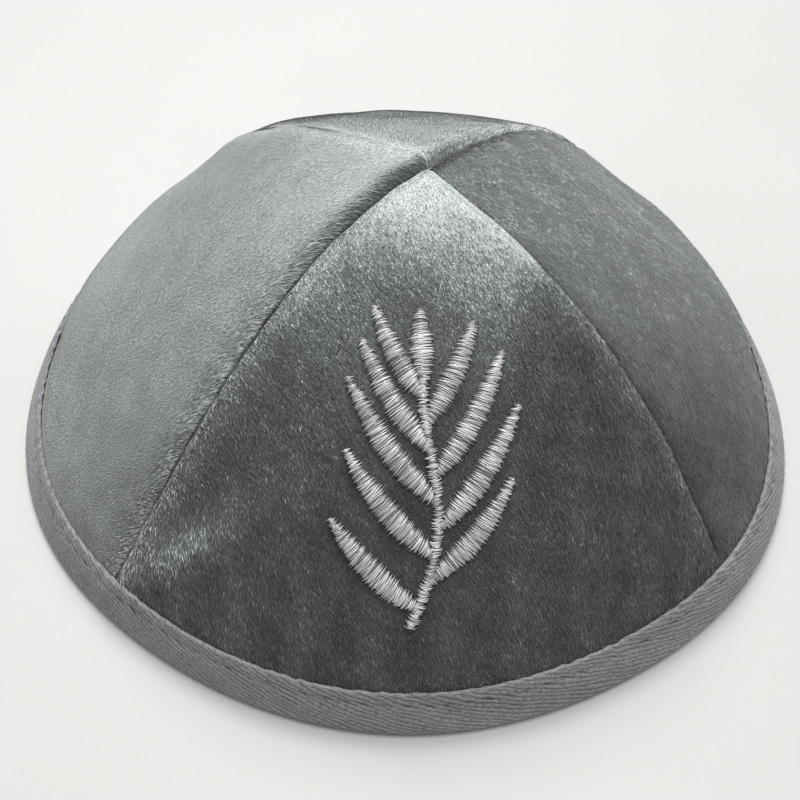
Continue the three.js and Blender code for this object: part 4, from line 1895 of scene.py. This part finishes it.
@dataclass
class SatinSprig:
    """The sprig in thread: rows of satin stitch over a padded underlay."""

    shape: CrownShape
    sprig: Sprig
    pitch: float = 0.24
    thread: float = 0.18
    sides: int = 5
    points_each: int = 7
    leaf_crest: float = 1.3
    stem_crest: float = 1.1
    ragged: float = 0.6
    stitch_end_shade: float = 0.6
    slant: float = 0.08
    slant_swing: float = 0.12
    shaded_gap_share: float = 0.16
    sheen_pitch: float = 7
    under_share: float = 0.72
    under_points: int = 7
    under_steps: int = 26
    under_inset: float = 0.1
    under_root: float = -0.15
    padding_shade: float = 0.05
    panel_out: Three = (0, -0.6, 0.8)
    end_thickness: float = 0.55
    place_jitter: float = 0.06
    look_ahead: float = 0.3
    thin_crest: float = 0.75
    ragged_ends: Pair = (-0.6, 1)
    sink: float = 0.1
    height_jitter: float = 0.03
    gap_shade: float = 0.1
    sheen_tone: float = 0.74
    sheen_swing: float = 0.16
    tone_jitter: float = 0.3

    def on_cloth(self, right: Points, down: Points, height: Points) -> Points:
        """Gives points above the front panel.

        Args:
            right: Millimetres right of the panel's middle.
            down: Millimetres down from the apex.
            height: Millimetres above the cloth.

        Returns:
            Points, in millimetres.
        """
        along = self.shape.along_at(down)
        across = right / (self.shape.radius(along) * math.pi / 4)
        return self.shape.point(FRONT_PANEL, across, along, depth=-height)

    def tubes(self, paths: Points, radius: float) -> tuple[Points, Points]:
        """Makes a tube along each path, open at its ends until close_ends.

        Args:
            paths: Points of each path.
            radius: The tubes' radius.

        Returns:
            Vertices, and faces with four sides.
        """
        count, steps = paths.shape[:2]
        run = unit(np.gradient(paths, axis=1))
        flank = unit(np.cross(run, np.array(self.panel_out)))
        over = np.cross(flank, run)
        turn = np.arange(self.sides) / self.sides * math.tau
        thick = radius * np.ones(steps)
        thick[[0, -1]] *= self.end_thickness
        ring = flank[:, :, None] * np.cos(turn)[:, None] + over[:, :, None] * np.sin(turn)[:, None]
        points = paths[:, :, None] + ring * thick[None, :, None, None]
        k, s = np.meshgrid(np.arange(steps - 1), np.arange(self.sides), indexing="ij")
        k, s = k.ravel(), s.ravel()
        after = (s + 1) % self.sides
        quads = np.stack([k * self.sides + s, k * self.sides + after, (k + 1) * self.sides + after,
                          (k + 1) * self.sides + s], -1)
        first = np.arange(count)[:, None, None] * steps * self.sides
        return points.reshape(-1, 3), (first + quads[None]).reshape(-1, 4)

    def stitches(self, chance: np.random.Generator) -> tuple[Points, Points]:
        """Draws every satin stitch as a path over its padding.

        Args:
            chance: The source of chance.

        Returns:
            The paths' points, and a tone for each stitch.
        """
        paths, tones = [], []
        share = np.linspace(-1, 1, self.points_each)
        for spine, widths, is_stem in self.sprig.strokes():
            run = run_along(spine)
            places = np.arange(0, run[-1], self.pitch)
            places = places + chance.uniform(-self.place_jitter, self.place_jitter, places.shape)
            middle = walk(spine, run, places)
            onward = walk(spine, run, places + self.look_ahead)
            ahead = unit(onward - walk(spine, run, places - self.look_ahead))
            flank = np.stack([-ahead[:, 1], ahead[:, 0]], -1)
            half = np.interp(places, run, widths) / 2
            lean = self.slant + self.slant_swing * np.tanh(chance.standard_normal(len(places)))
            crest = self.stem_crest if is_stem else self.leaf_crest
            fullness = np.minimum(1, half / (widths.max() / 2))
            crest = crest * (self.thin_crest + (1 - self.thin_crest) * fullness)
            ends = half[:, None] + self.ragged * chance.uniform(*self.ragged_ends, (len(places), 2))
            reach = np.where(share < 0, ends[:, :1], ends[:, 1:]) * share[None]
            right = middle[:, :1] + flank[:, :1] * reach + ahead[:, :1] * lean[:, None] * reach
            down = middle[:, 1:] + flank[:, 1:] * reach + ahead[:, 1:] * lean[:, None] * reach
            dome = np.sqrt(np.maximum(0, 1 - share**2))
            height = -self.sink + (crest[:, None] + self.sink) * dome[None]
            jitter = self.height_jitter * chance.standard_normal(len(places))
            height = height + jitter[:, None] * dome[None]
            paths.append(self.on_cloth(right, down, height))
            # Some stitches are near black: painted shade standing for the gaps between threads.
            shaded_gaps = chance.random(len(places)) < self.shaded_gap_share
            swing = self.sheen_swing * ripple(places, middle[:, 0], self.sheen_pitch, seed=Seed.SATIN_SHEEN)
            sheen = self.sheen_tone + swing
            sheen = sheen + chance.uniform(-self.tone_jitter, self.tone_jitter, len(places))
            tones.append(np.clip(np.where(shaded_gaps, self.gap_shade, sheen), 0, 1))
        return np.concatenate(paths), np.concatenate(tones)

    def underlay(self) -> tuple[Points, Points]:
        """Makes the low padding under each run of stitching.

        Returns:
            Its vertices and faces.
        """
        clouds, faces, first = [], [], 0
        share = np.linspace(-1, 1, self.under_points)
        for spine, widths, is_stem in self.sprig.strokes(self.under_steps):
            ahead = unit(np.gradient(spine, axis=0))
            flank = np.stack([-ahead[:, 1], ahead[:, 0]], -1)
            crest = (self.stem_crest if is_stem else self.leaf_crest) * self.under_share
            half = (widths / 2 - self.under_inset)[:, None]
            dome = np.sqrt(np.maximum(0, 1 - share**2)) * crest
            share_round = np.concatenate([share, share[-2:0:-1]])
            height = np.concatenate([dome, np.full(self.under_points - 2, self.under_root)])
            right = spine[:, :1] + flank[:, :1] * half * share_round
            down = spine[:, 1:] + flank[:, 1:] * half * share_round
            points = self.on_cloth(right, down, np.broadcast_to(height, right.shape))
            grid = Grid(points)
            clouds.append(points.reshape(-1, 3))
            faces.append(grid.faces()[:, ::-1] + first)
            first += points.shape[0] * points.shape[1]
        return np.concatenate(clouds), np.concatenate(faces)

    def build(self, finish: bpy.types.Material) -> bpy.types.Object:
        """Makes the sprig.

        Args:
            finish: The thread's material.

        Returns:
            The sprig.
        """
        chance = np.random.default_rng(Seed.SATIN)
        paths, tones = self.stitches(chance)
        points, quads = self.tubes(paths, self.thread / 2)
        pad_points, pad_quads = self.underlay()
        # Each stitch is darker at its ends than in its middle: painted shade where it dips into the cloth.
        middle = np.sqrt(1 - np.linspace(-1, 1, self.points_each) ** 2)
        along = tones[:, None] * (self.stitch_end_shade + (1 - self.stitch_end_shade) * middle)
        # The padding is near black: painted shade seen between the threads.
        pad_shade = np.full(len(pad_points), self.padding_shade)
        tone = np.concatenate([np.repeat(along.ravel(), self.sides), pad_shade])
        faces = np.concatenate([quads, pad_quads + len(points)])
        piece = new_piece(
            "satin_sprig", np.concatenate([points, pad_points]), faces, [finish], values={"tone": tone},
        )
        self.close_ends(piece)
        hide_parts("embroidered_sprig")
        log.info("%s: %d stitches", piece.name, len(paths))
        return piece

    @staticmethod
    def close_ends(piece: bpy.types.Object) -> None:
        """Closes every open end of the thread and its padding, and turns all faces outwards.

        Args:
            piece: The sprig.
        """
        bpy.ops.object.select_all(action="DESELECT")
        piece.select_set(True)
        bpy.context.view_layer.objects.active = piece
        bpy.ops.object.mode_set(mode="EDIT")
        bpy.ops.mesh.select_all(action="DESELECT")
        bpy.ops.mesh.select_non_manifold()
        bpy.ops.mesh.edge_face_add()
        bpy.ops.mesh.select_all(action="SELECT")
        bpy.ops.mesh.normals_make_consistent(inside=False)
        bpy.ops.object.mode_set(mode="OBJECT")


@dataclass(frozen=True)
class Lamp:
    """One soft rectangular light: where it stands, what it looks at, its size and power."""

    name: str
    place: Three
    target: Three
    size: float
    power: float
    colour: Colour = (1, 1, 1)


@dataclass(frozen=True)
class Studio:
    """The table, the light and the camera."""

    distance: float = 227.359
    elevation: float = 48.092
    pan: float = -0.396
    tilt: float = -1.319
    roll: float = 3.808
    lens: float = 43.66
    sensor: float = 36
    clip: Pair = (0.01, 20)
    table_size: float = 6
    sky: Colour = (0.97, 0.98, 0.97)
    sky_strength: float = 0.46
    lamps: tuple[Lamp, ...] = (
        Lamp("window", (-0.22, 0.98, 1.35), (0, 0, 0.03), size=0.7, power=23.6),
        Lamp("ceiling", (0.2, 0.1, 1.6), (0, 0, 0.03), size=0.9, power=14.3),
    )

    def camera(self, shift: Points) -> None:
        """Sets the camera at the photograph's angle.

        Args:
            shift: The move from the crown's own centre to the frame's.
        """
        lift = math.radians(self.elevation)
        place = Vector((0, -self.distance * math.cos(lift), self.distance * math.sin(lift)))
        ahead = -place.normalized()
        right = Vector((1, 0, 0))
        over = right.cross(ahead)
        ahead, right = turned(ahead, right, self.pan)
        ahead, over = turned(ahead, over, self.tilt)
        right, over = turned(right, over, self.roll)
        data = bpy.data.cameras.new("camera")
        data.lens = self.lens
        data.sensor_width = self.sensor
        data.clip_start, data.clip_end = self.clip
        camera = bpy.data.objects.new("camera", data)
        axes = Matrix((right, over, -ahead)).transposed().to_4x4()
        camera.matrix_world = Matrix.Translation((place + Vector(shift)) * MM) @ axes
        bpy.context.scene.collection.objects.link(camera)
        bpy.context.scene.camera = camera

    def light(self) -> None:
        """Sets the pale surroundings and the lamps."""
        world = bpy.data.worlds.new("pale_room")
        world.use_nodes = True
        background = world.node_tree.nodes["Background"]
        background.inputs["Color"].default_value = (*self.sky, 1)
        background.inputs["Strength"].default_value = self.sky_strength
        bpy.context.scene.world = world
        for lamp in self.lamps:
            data = bpy.data.lights.new(lamp.name, "AREA")
            data.size = lamp.size
            data.energy = lamp.power
            data.color = lamp.colour
            made = bpy.data.objects.new(lamp.name, data)
            made.location = lamp.place
            way = Vector(lamp.target) - Vector(lamp.place)
            made.rotation_euler = way.to_track_quat("-Z", "Y").to_euler()
            bpy.context.scene.collection.objects.link(made)

    def table(self, finish: bpy.types.Material) -> None:
        """Lays the pale table under the cap.

        Args:
            finish: Its material.
        """
        bpy.ops.object.select_all(action="DESELECT")
        bpy.ops.mesh.primitive_plane_add(size=self.table_size, location=(0, 0, 0))
        top = bpy.context.object
        top.name = "table_top"
        top.data.materials.append(finish)

    def build(self, shift: Points, finish: bpy.types.Material) -> None:
        """Sets up the whole studio.

        Args:
            shift: The move from the crown's own centre to the frame's.
            finish: The table's material.
        """
        self.camera(shift)
        self.light()
        self.table(finish)
        bpy.context.scene.view_settings.view_transform = "Standard"


def main() -> None:
    """Builds the studio and then the cap, piece by piece."""
    logging.basicConfig(level=logging.INFO, format="%(message)s")
    shape = CrownShape()
    sprig = Sprig()
    flecks = fleck_group()
    Studio().build(shape.shift(), TableFinish().material())

    velvet = VelvetFinish()
    ground, pile = velvet.ground(flecks), velvet.pile()
    backing = BackingFinish().material(flecks)
    for index in range(len(CUTS)):
        panel = CrownPanel(shape, index, sprig if index == FRONT_PANEL else None)
        panel.build(ground, pile, backing)

    binding = RimBinding(shape)
    tape = binding.build(TwillFinish().material(flecks))
    grey = ThreadFinish(
        "tape_thread", dark=(0.16, 0.165, 0.17), light=(0.25, 0.26, 0.27), roughness=0.6, shine=0.3,
    )
    stitches = Topstitch(binding).build(grey.material())
    silver = ThreadFinish(
        "silver_thread", dark=(0.16, 0.16, 0.165), light=(0.92, 0.92, 0.91), roughness=0.22, shine=1,
    )
    SatinSprig(shape, sprig).build(silver.material())


if __name__ == "__main__":
    main()
